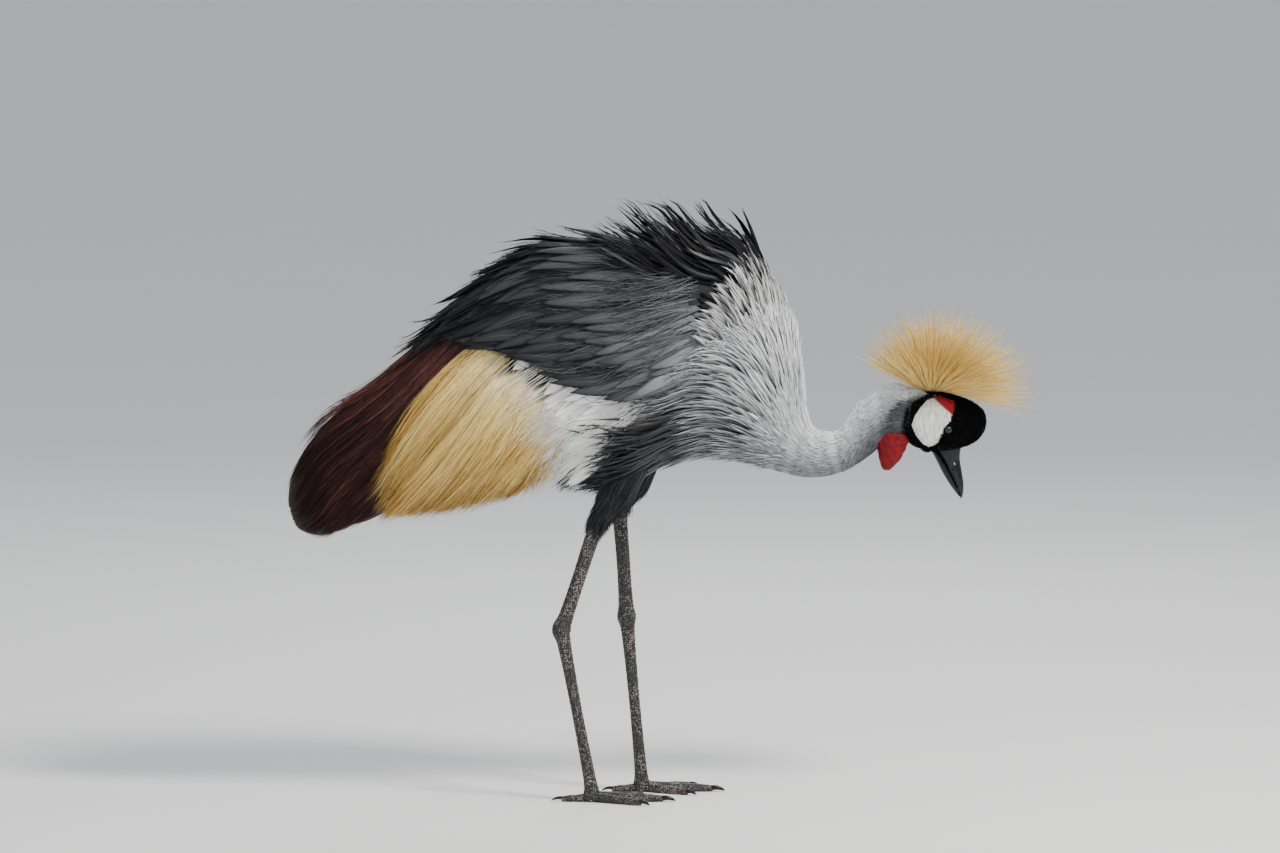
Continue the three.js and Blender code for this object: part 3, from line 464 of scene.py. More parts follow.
@dataclass
class Strands:
    """Many feathers of one cut. Arrays run feather by feather, then station by station."""

    points: Array
    out: Array
    width: Array
    cut: Cut
    root: Array
    tint: Array
    tone: Array
    roll: Numbers = 0.0

    def rings(self, section: Array, shares: Array) -> Array:
        """The corners of the section round each station but the last.

        Args:
            section: The section's corners.
            shares: Each station's share of the length.

        Returns:
            The corners, feather by feather, station by station.
        """
        along = unit(np.gradient(self.points, axis=1))
        across = unit(np.cross(along, self.out))
        up = np.cross(across, along)
        turn = np.radians(np.broadcast_to(self.roll, (len(self.points),)))[:, None, None]
        flat = (across * np.cos(turn) + up * np.sin(turn))[:, :-1, None, :]
        face = (up * np.cos(turn) - across * np.sin(turn))[:, :-1, None, :]
        half = (self.width[:, None] * curve(self.cut.outline.value, shares) / 2)[:, :-1, None, None]
        taper = np.clip((1 - shares) * 6, 0.25, 1)
        deep = (self.cut.thick * MM / 2 * taper)[None, :-1, None, None]
        wide, high = section[:, :1], section[:, 1:]
        rise = high * deep - self.cut.camber * wide * wide * half
        return self.points[:, :-1, None, :] + flat * wide * half + face * rise

    def mesh_data(self) -> MeshData:
        """Closed tapered blades round the centre lines.

        Returns:
            Points and faces, with each point's attributes and its place on the bake map.
        """
        count, stations, _ = self.points.shape
        shares = np.linspace(0, 1, stations)
        section = np.array(self.cut.section.value, float)
        corners = len(section)
        rows = stations - 1
        each = rows * corners + 1
        verts = np.concatenate([self.rings(section, shares).reshape(count, -1, 3), self.points[:, -1:, :]], 1)
        faces = ring_faces(rows, corners)
        tip = fan((rows - 1) * corners + np.arange(corners), each - 1)
        cap = np.arange(corners)[::-1]
        starts = (np.arange(count) * each)[:, None]
        loops = np.concatenate([faces.ravel(), tip.ravel(), cap])[None, :] + starts
        length = np.linalg.norm(np.diff(self.points, axis=1), axis=-1).sum(1)
        run = np.r_[np.repeat(shares[:-1], corners), 1.0]
        side = np.r_[np.tile(section[:, 0], rows), 0.0]
        tone = self.tone if self.tone.ndim == 2 else np.repeat(self.tone[:, None], stations, 1)
        tone = np.concatenate([tone[:, :-1].repeat(corners, 1), tone[:, -1:]], 1)
        patch = np.stack([side * PATCH[0], (run - 0.5) * PATCH[1]], -1)
        return {
            "verts": verts.reshape(-1, 3),
            "loops": loops.ravel(),
            "totals": np.tile(np.r_[np.full(len(faces), 4), np.full(corners, 3), corners], count),
            "run": np.tile(run, count),
            "side": np.tile(side, count),
            "tint": np.repeat(self.tint, each),
            "tone": tone.ravel(),
            "reach": (run[None, :] * length[:, None]).ravel(),
            "wide": (side[None, :] * self.width[:, None] / 2).ravel(),
            "root": np.repeat(self.root, each, 0),
            "patch": np.tile(patch, (count, 1)),
        }


def joined(parts: Sequence[MeshData]) -> MeshData:
    """Several meshes' arrays as one mesh's.

    Args:
        parts: Each mesh's arrays.

    Returns:
        The arrays of the whole, with the corners' numbers moved on.
    """
    offsets = np.cumsum([0] + [len(part["verts"]) for part in parts[:-1]])
    whole = {key: np.concatenate([part[key] for part in parts]) for key in parts[0]}
    whole["loops"] = np.concatenate([part["loops"] + offset for part, offset in zip(parts, offsets)])
    return whole


def make_object(name: str, data: MeshData) -> Piece:
    """A mesh object from arrays, shaded smooth.

    Args:
        name: The piece's name.
        data: Its points, verts, in metres, the corners of all faces, loops, one after another, and
            how many corners each face has, totals.

    Returns:
        The object, linked to the scene.
    """
    verts, loops, totals = data["verts"], data["loops"], data["totals"]
    mesh = bpy.data.meshes.new(name)
    mesh.vertices.add(len(verts))
    mesh.vertices.foreach_set("co", np.ascontiguousarray(verts, np.float32).ravel())
    mesh.loops.add(len(loops))
    mesh.loops.foreach_set("vertex_index", np.ascontiguousarray(loops, np.int32))
    mesh.polygons.add(len(totals))
    starts = np.concatenate([[0], np.cumsum(totals)[:-1]]).astype(np.int32)
    mesh.polygons.foreach_set("loop_start", starts)
    mesh.polygons.foreach_set("loop_total", np.ascontiguousarray(totals, np.int32))
    mesh.polygons.foreach_set("use_smooth", np.ones(len(totals), bool))
    mesh.update(calc_edges=True)
    mesh.validate()
    piece = bpy.data.objects.new(name, mesh)
    bpy.context.scene.collection.objects.link(piece)
    return piece


def set_attribute(piece: Piece, name: str, values: Array) -> None:
    """Gives each point of a mesh one number."""
    layer = piece.data.attributes.new(name, "FLOAT", "POINT")
    layer.data.foreach_set("value", np.ascontiguousarray(values, np.float32))


def bake_map(piece: Piece, spots: Array) -> None:
    """Adds the bake map.

    Args:
        piece: The mesh.
        spots: The place of each of its points on the map.
    """
    loops = np.zeros(len(piece.data.loops), np.int32)
    piece.data.loops.foreach_get("vertex_index", loops)
    layer = piece.data.uv_layers.new(name="OFBake")
    layer.data.foreach_set("uv", np.ascontiguousarray(np.clip(spots, 0, 1)[loops], np.float32).ravel())


def coat_piece(name: str, parts: Sequence[Strands]) -> Piece:
    """Joins strands into one coat piece with its attributes and bake map.

    Args:
        name: The piece's name.
        parts: The strands, each with its roots' places on an unwrap of the skin.

    Returns:
        The object.
    """
    data = joined([part.mesh_data() for part in parts])
    piece = make_object(name, data)
    for key in ("run", "side", "tint", "tone", "reach", "wide"):
        set_attribute(piece, key, data[key])
    low, high = data["root"].min(0), data["root"].max(0)
    spots = MAP_MARGIN + (1 - 2 * MAP_MARGIN) * (data["root"] - low) / np.maximum(high - low, 1e-6)
    bake_map(piece, spots + data["patch"])
    LOG.info("%s: %d triangles", name, (data["totals"] - 2).sum())
    return piece


class Graph:
    """A material's nodes, added with few words."""

    def __init__(self, name: str) -> None:
        """Starts a material with a Principled shader.

        Args:
            name: The material's name.
        """
        self.material = bpy.data.materials.new(name)
        self.material.use_nodes = True
        self.tree = self.material.node_tree
        self.shader = self.tree.nodes["Principled BSDF"]

    def node(self, kind: str, inputs: dict[str, object] | None = None, **settings: object) -> bpy.types.Node:
        """Adds a node.

        Args:
            kind: The node's type.
            inputs: What its inputs are set or linked to.
            settings: Its properties.

        Returns:
            The node.
        """
        made = self.tree.nodes.new(kind)
        for key, value in settings.items():
            setattr(made, key, value)
        for key, value in (inputs or {}).items():
            self.feed(made.inputs[key], value)
        return made

    def feed(self, socket: Socket, value: object) -> None:
        """Links a socket, or sets its value.

        Args:
            socket: The socket.
            value: Another socket, a number, a vector or a colour.
        """
        if isinstance(value, Socket):
            self.tree.links.new(value, socket)
        elif isinstance(value, tuple) and len(value) == 3 and socket.type == "RGBA":
            socket.default_value = (*value, 1.0)
        else:
            socket.default_value = value

    def attribute(self, name: str) -> Socket:
        """A number that the mesh carries."""
        return self.node("ShaderNodeAttribute", attribute_name=name).outputs["Fac"]

    def math(self, operation: str, first: object, second: object = 0.0, third: object = 0.0) -> Socket:
        """Arithmetic with up to three numbers.

        Args:
            operation: What is done with them.
            first: The first number.
            second: The second.
            third: The third.

        Returns:
            The result.
        """
        made = self.node("ShaderNodeMath", operation=operation)
        for socket, value in zip(made.inputs, (first, second, third)):
            self.feed(socket, value)
        return made.outputs[0]

    def rise(self, value: object, low: float, high: float, to: Range = (0.0, 1.0)) -> Socket:
        """A number brought smoothly from one range to another."""
        inputs = {"Value": value, "From Min": low, "From Max": high, "To Min": to[0], "To Max": to[1]}
        return self.node("ShaderNodeMapRange", inputs, interpolation_type="SMOOTHSTEP").outputs["Result"]

    def mix(self, factor: object, first: object, second: object, blend: str = "MIX") -> Socket:
        """A blend of two colours.

        Args:
            factor: How much of the second one there is.
            first: The first colour.
            second: The second colour.
            blend: How they are blended.

        Returns:
            The colour.
        """
        made = self.node("ShaderNodeMix", data_type="RGBA", blend_type=blend)
        self.feed(made.inputs["Factor"], factor)
        self.feed(made.inputs[6], first)
        self.feed(made.inputs[7], second)
        return made.outputs[2]

    def ramp(self, factor: object, stops: Sequence[tuple[float, Colour]]) -> Socket:
        """Colours along a number.

        Args:
            factor: The number.
            stops: Where each colour is reached.

        Returns:
            The colour.
        """
        made = self.node("ShaderNodeValToRGB", {"Fac": factor})
        band = made.color_ramp
        while len(band.elements) < len(stops):
            band.elements.new(0.5)
        for element, (place, colour) in zip(band.elements, stops):
            element.position = place
            element.color = (*colour, 1.0)
        return made.outputs["Color"]

    def noise(
        self, scale: float, vector: object = None, detail: float = 3.0, rough: float = 0.5,
    ) -> Socket:
        """Soft noise.

        Args:
            scale: How fine it is.
            vector: Where it is read, in the object's own metres unless given.
            detail: How many finer layers it has.
            rough: How strong they are.

        Returns:
            The noise.
        """
        place = vector or self.node("ShaderNodeTexCoord").outputs["Object"]
        inputs = {"Vector": place, "Scale": scale, "Detail": detail, "Roughness": rough}
        return self.node("ShaderNodeTexNoise", inputs).outputs["Fac"]

    def vector(self, x: object, y: object = 0.0, z: object = 0.0) -> Socket:
        """Three numbers as a vector."""
        return self.node("ShaderNodeCombineXYZ", {"X": x, "Y": y, "Z": z}).outputs["Vector"]

    def bump(self, height: object, strength: float, distance: float) -> None:
        """Feeds a height to the shader's normal."""
        inputs = {"Height": height, "Strength": strength, "Distance": distance}
        self.feed(self.shader.inputs["Normal"], self.node("ShaderNodeBump", inputs).outputs["Normal"])

    def surface(self, **values: object) -> Material:
        """Feeds the shader by its sockets' names, with spaces as underscores, and returns the material."""
        for key, value in values.items():
            self.feed(self.shader.inputs[key.replace("_", " ")], value)
        return self.material


@dataclass(frozen=True)
class FeatherFinish:
    """Barbed vanes: colours from root to tip, a shaft, and the two colours that the tone brings in."""

    name: str
    root: Colour
    middle: Colour
    tip: Colour
    toned: Colour
    shaft: Colour
    shaft_width: float = 0.07
    shaft_share: float = 0.6
    edge: float = 0.25
    streak: float = 0.25
    vary: float = 0.2
    barbs: float = 900.0
    slant: float = 1.6
    rough: float = 0.6
    sheen: float = 0.04
    bump: float = 0.35
    pale: Colour = (0.5, 0.5, 0.5)
    rim: float = 0.0
    dark_root: float = 0.02
    gloss: float = 0.5

    def barb(self, g: Graph, side: Socket, tint: Socket) -> Socket:
        """Noise in lines that slant from the shaft to both edges.

        Args:
            g: The material's nodes.
            side: The place across the vane, from -1 to 1.
            tint: Each feather's own number.

        Returns:
            The noise.
        """
        across = g.math("ABSOLUTE", g.attribute("wide"))
        along = g.math("MULTIPLY", g.attribute("reach"), self.barbs)
        phase = g.math("SUBTRACT", along, g.math("MULTIPLY", across, self.barbs * self.slant))
        place = g.vector(phase, g.math("MULTIPLY", tint, 40.0), g.math("SIGN", side))
        return g.noise(1.0, place, 2.0, 0.6)

    def material(self) -> Material:
        """The finish as a node material.

        Returns:
            The material.
        """
        g = Graph(self.name)
        run, side, tint, tone = (g.attribute(name) for name in ("run", "side", "tint", "tone"))
        barb = self.barb(g, side, tint)
        far = g.math("ABSOLUTE", side)
        middle = self.dark_root * 0.5 + 0.4
        stops = ((0.0, self.root), (self.dark_root, self.root), (middle, self.middle), (1.0, self.tip))
        colour = g.mix(tone, g.ramp(run, stops), self.toned)
        colour = g.mix(g.math("MULTIPLY", tone, -1.0), colour, self.pale)
        streak = g.rise(barb, 0.3, 0.7, (1.0 - self.streak, 1.0 + self.streak))
        own = g.rise(tint, 0.0, 1.0, (1.0 - self.vary, 1.0 + self.vary))
        edge = g.rise(far, 0.55, 1.0, (1.0, 1.0 - self.edge))
        shade = g.math("MULTIPLY", g.math("MULTIPLY", streak, own), edge)
        grey = g.node("ShaderNodeCombineColor", {"Red": shade, "Green": shade, "Blue": shade}).outputs[0]
        colour = g.mix(1.0, colour, grey, "MULTIPLY")
        shaft = g.rise(far, self.shaft_width * 2, self.shaft_width, (0.0, self.shaft_share))
        colour = g.mix(g.math("MULTIPLY", shaft, g.rise(run, 1.0, 0.7)), colour, self.shaft)
        if self.rim:
            colour = g.mix(g.rise(far, 0.84, 0.97, (0.0, self.rim)), colour, self.shaft)
        g.bump(barb, self.bump, 0.0004)
        return g.surface(
            Base_Color=colour, Roughness=self.rough, Specular_IOR_Level=self.gloss,
            Sheen_Weight=self.sheen, Sheen_Roughness=0.5,
        )


def dress(piece: Piece, finish: Material, slot: str, *nodes: str) -> Piece:
    """Finishes a piece and places it in the frame.

    Args:
        piece: The piece.
        finish: Its material.
        slot: The record's name for it; not used.
        nodes: The nodes that the piece stands for.

    Returns:
        The piece.
    """
    piece.data.materials.clear()
    piece.data.materials.append(finish)
    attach(piece, BODY)
    if nodes:
        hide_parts(*nodes)
    return piece


@dataclass
class Lofts:
    """The bird's surfaces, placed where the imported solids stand."""

    shift: float
    body: RibLoft = field(init=False)
    cape: RibLoft = field(init=False)
    skull: RibLoft = field(init=False)

    def __post_init__(self) -> None:
        """Builds the lofts."""
        self.body = RibLoft(BODY_RIBS, self.shift)
        self.cape = RibLoft(CAPE_RIBS, self.shift)
        self.skull = RibLoft(HEAD_RIBS, self.shift)

    def before_wing(self, loft: Surface, t: Array, phi: Array, side: float) -> Array:
        """How far places lie in front of the wing's front edge."""
        points = loft.point(t, phi, 0, side)
        return (points[..., 0] - self.shift + WING_EDGE * MM - points[..., 2]) * math.sqrt(0.5) / MM


@dataclass
class Row:
    """How one tract of feathers is laid: millimetres and degrees, one number a feather."""

    loft: Surface
    t: Array
    phi: Array
    length: Numbers
    width: Array
    side: float
    level: Range
    turn: Numbers = 0.0
    lift: Numbers = 0.0
    bow: Numbers = 0.0
    end: Array | None = None

    def strands(self, draw: Draws, cut: Cut, tone: Numbers = 0.0) -> Strands:
        """Lays the feathers over the loft.

        Args:
            draw: The random draws.
            cut: The feathers' shape.
            tone: How far each, or each of its stations, takes the finish's second colour.

        Returns:
            The strands.
        """
        count = len(self.t)
        share = np.linspace(0, 1, cut.stations)[None, :]
        end = self.loft.after(self.t, self.phi, self.length * MM) if self.end is None else self.end
        values = (self.turn, self.bow, self.lift)
        turn, bow, lift = (np.broadcast_to(value, (count,))[:, None] for value in values)
        t = self.t[:, None] + (end - self.t)[:, None] * share
        phi = self.phi[:, None] + turn * share + bow * np.sin(math.pi * share)
        low, high = self.level
        rise = (low + (high - low) * share) * self.loft.depth_scale(t) + lift * share * share
        points = self.loft.point(t, phi, rise * MM, self.side)
        out = self.loft.normal(t, phi, self.side)
        if cut.loose:
            stray = draw.normal(0, cut.loose * MM, (count, 3))[:, None, :] * (share * share)[..., None]
            points = points + stray
        root = np.stack([self.t / self.loft.last, self.phi / 180], -1)
        tint = draw.random(count)
        roll = draw.normal(0, 1, count) * cut.roll * self.side
        if np.ndim(tone) < 2:
            tone = np.array(np.broadcast_to(tone, (count,)), float)
        return Strands(points, out, self.width * MM, cut, root, tint, tone, roll)


Group = TypeVar("Group", Row, Strands)


def chosen(group: Group, keep: Array) -> Group:
    """The feathers of a row, or the strands, that are kept."""
    arrays = {key: value for key, value in vars(group).items() if isinstance(value, np.ndarray)}
    return replace(group, **{key: value[keep] for key, value in arrays.items()})


def closed_tube(grid: Array) -> MeshData:
    """A closed skin over rings of points.

    Args:
        grid: The rings, one row of points each.

    Returns:
        Its points and faces.
    """
    rows, columns, _ = grid.shape
    first = rows * columns
    ring = np.arange(columns)
    start = fan(ring, first)[:, [1, 0, 2]]
    end = fan(first - columns + ring, first + 1)
    faces = ring_faces(rows, columns)
    centres = np.stack([grid[0].mean(0), grid[-1].mean(0)])
    return {
        "verts": np.concatenate([grid.reshape(-1, 3), centres]),
        "loops": np.concatenate([faces.ravel(), start.ravel(), end.ravel()]),
        "totals": np.r_[np.full(len(faces), 4), np.full(2 * columns, 3)],
    }


def tube_object(name: str, grid: Array) -> Piece:
    """A closed skin over rings of points, turned the right way out."""
    return turn_outward(make_object(name, closed_tube(grid)))


def ball(rings: int, columns: int) -> Array:
    """Rings of points round a ball with a radius of 1.

    Args:
        rings: How many rings there are.
        columns: How many points each has.

    Returns:
        The points, ring by ring.
    """
    latitude = np.linspace(0.02, math.pi - 0.02, rings)[:, None]
    longitude = np.linspace(0, 2 * math.pi, columns, endpoint=False)[None, :]
    level = np.cos(latitude) + 0 * longitude
    return np.stack([np.sin(latitude) * np.cos(longitude), np.sin(latitude) * np.sin(longitude), level], -1)


def turn_outward(piece: Piece) -> Piece:
    """Flips a closed mesh's faces if they look inward.

    Args:
        piece: The mesh's object.

    Returns:
        The same object.
    """
    mesh = piece.data
    mesh.calc_loop_triangles()
    corners = np.zeros(len(mesh.loop_triangles) * 3, np.int32)
    mesh.loop_triangles.foreach_get("vertices", corners)
    points = points_of(piece)[corners.reshape(-1, 3)]
    volume = np.einsum("ij,ij->i", points[:, 0], np.cross(points[:, 1], points[:, 2])).sum()
    if volume < 0:
        mesh.flip_normals()
    return piece


def points_of(piece: Piece) -> Array:
    """A mesh's points as an array."""
    points = np.zeros(len(piece.data.vertices) * 3, np.float32)
    piece.data.vertices.foreach_get("co", points)
    return points.reshape(-1, 3).astype(float)


def set_points(piece: Piece, points: Array) -> None:
    """Moves a mesh's points."""
    piece.data.vertices.foreach_set("co", np.ascontiguousarray(points, np.float32).ravel())
    piece.data.update()


def combine(name: str, base: Piece, others: Sequence[Piece], operation: str = "UNION") -> Piece:
    """Joins closed meshes into one, or takes some away.

    Args:
        name: The new piece's name.
        base: The mesh to start from.
        others: The meshes to join to it or take from it.
        operation: UNION or DIFFERENCE.

    Returns:
        One object that takes the place of them all.
    """
    for other in others:
        modifier = base.modifiers.new("combine", "BOOLEAN")
        modifier.operation = operation
        modifier.solver = "MANIFOLD"
        modifier.object = other
    return settle(name, base, others)


def settle(name: str, base: Piece, spent: Sequence[Piece] = ()) -> Piece:
    """Applies an object's modifiers.

    Args:
        name: The new piece's name.
        base: The object.
        spent: Objects that the modifiers used, which are removed with it.

    Returns:
        The new piece.
    """
    graph = bpy.context.evaluated_depsgraph_get()
    mesh = bpy.data.meshes.new_from_object(base.evaluated_get(graph))
    mesh.polygons.foreach_set("use_smooth", np.ones(len(mesh.polygons), bool))
    made = bpy.data.objects.new(name, mesh)
    bpy.context.scene.collection.objects.link(made)
    for old in (base, *spent):
        bpy.data.objects.remove(old)
    made.name = name
    return made


def outline_depth(outline: Sequence[tuple[float, float]], x: Array, z: Array) -> Array:
    """How far points lie inside a closed outline in the profile plane.

    Args:
        outline: The outline's corners.
        x: The points' x, in the outline's units.
        z: Their z.

    Returns:
        The distances from the outline, negative outside it.
    """
    corners = np.array(outline, float)
    ends = np.roll(corners, -1, 0)
    best = np.full(x.shape, 1e9)
    odd = np.zeros(x.shape, bool)
    for (ax, az), (bx, bz) in zip(corners, ends):
        span = np.array([bx - ax, bz - az])
        share = np.clip(((x - ax) * span[0] + (z - az) * span[1]) / (span @ span), 0, 1)
        best = np.minimum(best, np.hypot(x - ax - share * span[0], z - az - share * span[1]))
        above = (z - az) * (bx - ax) / (bz - az if bz != az else 1e-9)
        odd ^= ((az > z) != (bz > z)) & (x < ax + above)
    return np.where(odd, best, -best)


def scale_relief(along: Array, around: Array, columns: int, seed: int) -> Array:
    """Pillows of a net of scales, 0 in the grooves and 1 on the scales.

    Args:
        along: Place along the limb, in scales.
        around: Place round the limb, from 0 to the number of columns.
        columns: Scales round the limb.
        seed: Seed of the scales' unevenness.

    Returns:
        The relief at each place.
    """
    table_rows = 512
    jitter = np.random.default_rng(seed).uniform(-0.22, 0.22, (table_rows, columns, 2))
    row = np.floor(along).astype(int)
    nearest = np.full(along.shape, 9.0)
    second = np.full(along.shape, 9.0)
    for d_row in (-1, 0, 1):
        here = row + d_row
        offset = 0.5 * (here % 2)
        column = np.floor(around - offset).astype(int)
        for d_column in (-1, 0, 1):
            spot = column + d_column
            shift = jitter[here % table_rows, spot % columns]
            along_gap = along - here - 0.5 - shift[..., 0]
            distance = np.hypot(along_gap, around - offset - spot - 0.5 - shift[..., 1])
            second = np.minimum(second, np.maximum(nearest, distance))
            nearest = np.minimum(nearest, distance)
    return smooth(0.02, 0.34, second - nearest)


@dataclass(frozen=True)
class LegPlan:
    """The joints of one leg, x and z in millimetres, and how far they stand from the profile plane."""

    side: float
    hip: tuple[float, float]
    knee: tuple[float, float]
    feather: tuple[float, float]
    hock: tuple[float, float]
    foot: tuple[float, float]
    spread: tuple[float, float, float] = (43, 46, 44)

    def joints(self) -> list[Array]:
        """Hip, knee, end of the feathers, hock and foot as points."""
        depths = (self.spread[0], self.spread[0], self.spread[1], self.spread[1], self.spread[2])
        places = (self.hip, self.knee, self.feather, self.hock, self.foot)
        return [np.array([x, self.side * depth, z]) for (x, z), depth in zip(places, depths)]

    def stations(self) -> list[list[float]]:
        """The leg's stations from the hip to the sole.

        Returns:
            x, y, z and radius of each, in millimetres.
        """
        hip, knee, feather, hock, foot = self.joints()
        rows = [
            (hip, 20), (knee, 19), ((knee + feather) / 2, 13), (feather, 9.4), ((feather + hock) / 2, 8.2),
            (feather + (hock - feather) * 0.86, 9), (hock, 11.5), (hock + (foot - hock) * 0.1, 8.2),
            (hock + (foot - hock) * 0.5, 6.6), (hock + (foot - hock) * 0.92, 7.6),
        ]
        stations = [[*point, radius] for point, radius in rows]
        return [*stations, [foot[0], foot[1], 10, 10], [foot[0], foot[1], 3, 9]]


@dataclass(frozen=True)
class Toe:
    """A toe: its bearing in degrees, its length and radius, and the length of its claw."""

    name: str
    bearing: float
    length: float
    radius: float
    claw: float


LEGS = {
    "right": LegPlan(-1, (18, 412), (-4, 374), (-30, 328), (-70, 208), (-34, 15)),
    "left": LegPlan(1, (32, 412), (16, 378), (0, 345), (8, 212), (26, 15)),
}
TOES = (
    Toe("middle", 0, 84, 6.2, 15), Toe("inner", 30, 62, 5.6, 13), Toe("outer", -30, 66, 5.6, 13),
    Toe("hind", 178, 34, 5, 13),
)


@dataclass
class Leg:
    """One leg with its toes and claws."""

    name: str
    plan: LegPlan
    shift: float
    scale_size: float = 3.0
    columns: int = 17
    relief: float = 0.5

    def limb(self) -> Limb:
        """The leg's surface from the hip to the sole."""
        return Limb(self.plan.stations(), self.shift)

    def scaled_grid(
        self, limb: Limb, t: Array, sides: int, scute: float, columns: int, seed: int,
    ) -> Array:
        """Rings of the limb with its scales raised.

        Args:
            limb: The limb.
            t: Places of the rings.
            sides: Points round each ring.
            scute: Length of a plate on its front or top, in millimetres.
            columns: Scales round it.
            seed: Seed of their unevenness.

        Returns:
            The rings.
        """
        phi = np.linspace(0, 360, sides, endpoint=False)
        run = np.r_[0, np.cumsum(np.linalg.norm(np.diff(limb.middle(t), axis=0), axis=1))] / MM
        along, around = np.meshgrid(run, phi, indexing="ij")
        net = scale_relief(along / self.scale_size, around / 360 * columns, columns, seed)
        front = smooth(62, 40, np.minimum(around, 360 - around))
        plate = smooth(0.0, 0.22, 0.5 - np.abs((along / scute) % 1 - 0.5))
        relief = net * (1 - front) + plate * front
        rise = (relief - 1) * self.relief * MM * np.minimum(limb.half(t)[:, None] / (7 * MM), 1)
        return limb.point(np.asarray(t)[:, None], phi[None, :], rise)

    def bare_parts(self) -> list[Piece]:
        """The leg from the hip down and its toes, closed and set on the floor.

        Returns:
            The leg and each toe.
        """
        limb = self.limb()
        t = np.concatenate([np.linspace(0, 2.4, 14), np.linspace(2.5, limb.last, 340)])
        parts = [tube_object(f"leg_{self.name}", self.scaled_grid(limb, t, 60, 5.2, self.columns, 7))]
        for number, toe in enumerate(TOES):
            digit = Limb(self.toe_stations(toe), self.shift)
            rings = self.scaled_grid(digit, np.linspace(0, digit.last, 84), 32, 3.4, 11, 11 + number)
            parts.append(tube_object(f"toe_{toe.name}", rings))
        for part in parts:
            points = points_of(part)
            points[:, 2] = np.maximum(points[:, 2], 0)
            set_points(part, points)
        return parts

    def ahead(self, toe: Toe, reach: Numbers) -> tuple[Numbers, Numbers]:
        """The x and y that lie a reach from the foot's middle along a toe."""
        foot = self.plan.joints()[4]
        angle = math.radians(self.plan.side * toe.bearing)
        return foot[0] + reach * math.cos(angle), foot[1] - reach * math.sin(angle)

    def toe_stations(self, toe: Toe) -> list[list[float]]:
        """The line of a toe, with a pad under each bone.

        Args:
            toe: The toe.

        Returns:
            Its centre and radius from the foot to the claw.
        """
        shares = (
            (0.0, 7.5, 1.02), (0.18, 6.4, 0.98), (0.35, 5.2, 1.04), (0.52, 4.8, 0.88), (0.7, 4.4, 0.92),
            (0.93, 3.8, 0.72), (1.0, 3.5, 0.48),
        )
        return [
            [*self.ahead(toe, 2 + toe.length * share), height * toe.radius / 6.2, toe.radius * wide]
            for share, height, wide in shares
        ]

    def claws(self) -> Piece:
        """The four curved claws as one piece.

        Returns:
            The piece.
        """
        share = np.linspace(0, 1, 16)
        height = 4.2 + 1.6 * np.sin(share * 2.2) - 4.4 * share ** 2
        grids = []
        for toe in TOES:
            x, y = self.ahead(toe, 2 + toe.length - 2.5 + (toe.claw + 2.0) * share)
            thick = np.maximum((toe.radius - 2.9) * np.sqrt(1 - share ** 1.6), 0.3)
            stations = np.stack([x, y, np.maximum(height, thick + 0.1), thick], -1)
            grids.append(closed_tube(Limb(stations, self.shift).grid(np.linspace(0, 15, 40), 20, 0)))
        return turn_outward(make_object(f"claws_{self.name}", joined(grids)))


@dataclass
class Face:
    """The bare patches, lids and colours of the head, read in the profile plane."""

    shift: float
    eye: Vector
    black_edge: Curve = (
        (418, 366), (422.8, 362), (427, 345), (441, 340), (456, 340), (470, 343), (480.6, 354),
        (489.2, 374), (496, 384),
    )
    lid_long: float = 6.6
    lid_high: float = 5.6

    def plane(self, points: Array) -> tuple[Array, Array]:
        """The x and z of points in the tables' millimetres."""
        return (points[..., 0] - self.shift) / MM, points[..., 2] / MM

    def cheek(self, points: Array) -> Array:
        """1 on the white cheek."""
        return smooth(-0.35, 0.35, outline_depth(CHEEK_OUTLINE, *self.plane(points)))

    def brow(self, points: Array) -> Array:
        """1 on the red patch above it."""
        return smooth(-0.8, -0.1, outline_depth(BROW_OUTLINE, *self.plane(points)))

    def bare(self, points: Array) -> Array:
        """1 on both bare patches."""
        return np.maximum(self.cheek(points), self.brow(points))

    def depths(self, points: Array) -> list[Array]:
        """How many millimetres points lie inside the outlines of cheek and brow."""
        return [outline_depth(outline, *self.plane(points)) for outline in (CHEEK_OUTLINE, BROW_OUTLINE)]

    def seam(self, points: Array) -> Array:
        """True in the gap between the cheek and the brow."""
        return np.minimum(*self.depths(points)) > -1.8

    def black(self, points: Array) -> Array:
        """1 on the black of the head, with a soft edge to the grey neck."""
        x, z = self.plane(points)
        edge = curve(self.black_edge, z)
        return smooth(-4, 3, x - edge)

    def halo(self, x: Array, z: Array) -> Array:
        """1 on the neck where it meets the black of the head, fading backwards."""
        return smooth(15, 3, curve(self.black_edge, z) - x)

    def lid_distance(self, points: Array) -> Array:
        """How far points lie from the middle of the eye.

        Args:
            points: The points.

        Returns:
            Their distances, 1 on the lids' rim.
        """
        x, z = self.plane(points)
        ex, ez = (self.eye.x - self.shift) / MM, self.eye.z / MM
        lean = math.radians(62)
        along = (x - ex) * math.cos(lean) + (z - ez) * math.sin(lean)
        high = -(x - ex) * math.sin(lean) + (z - ez) * math.cos(lean)
        return np.hypot(along / self.lid_long, high / self.lid_high)


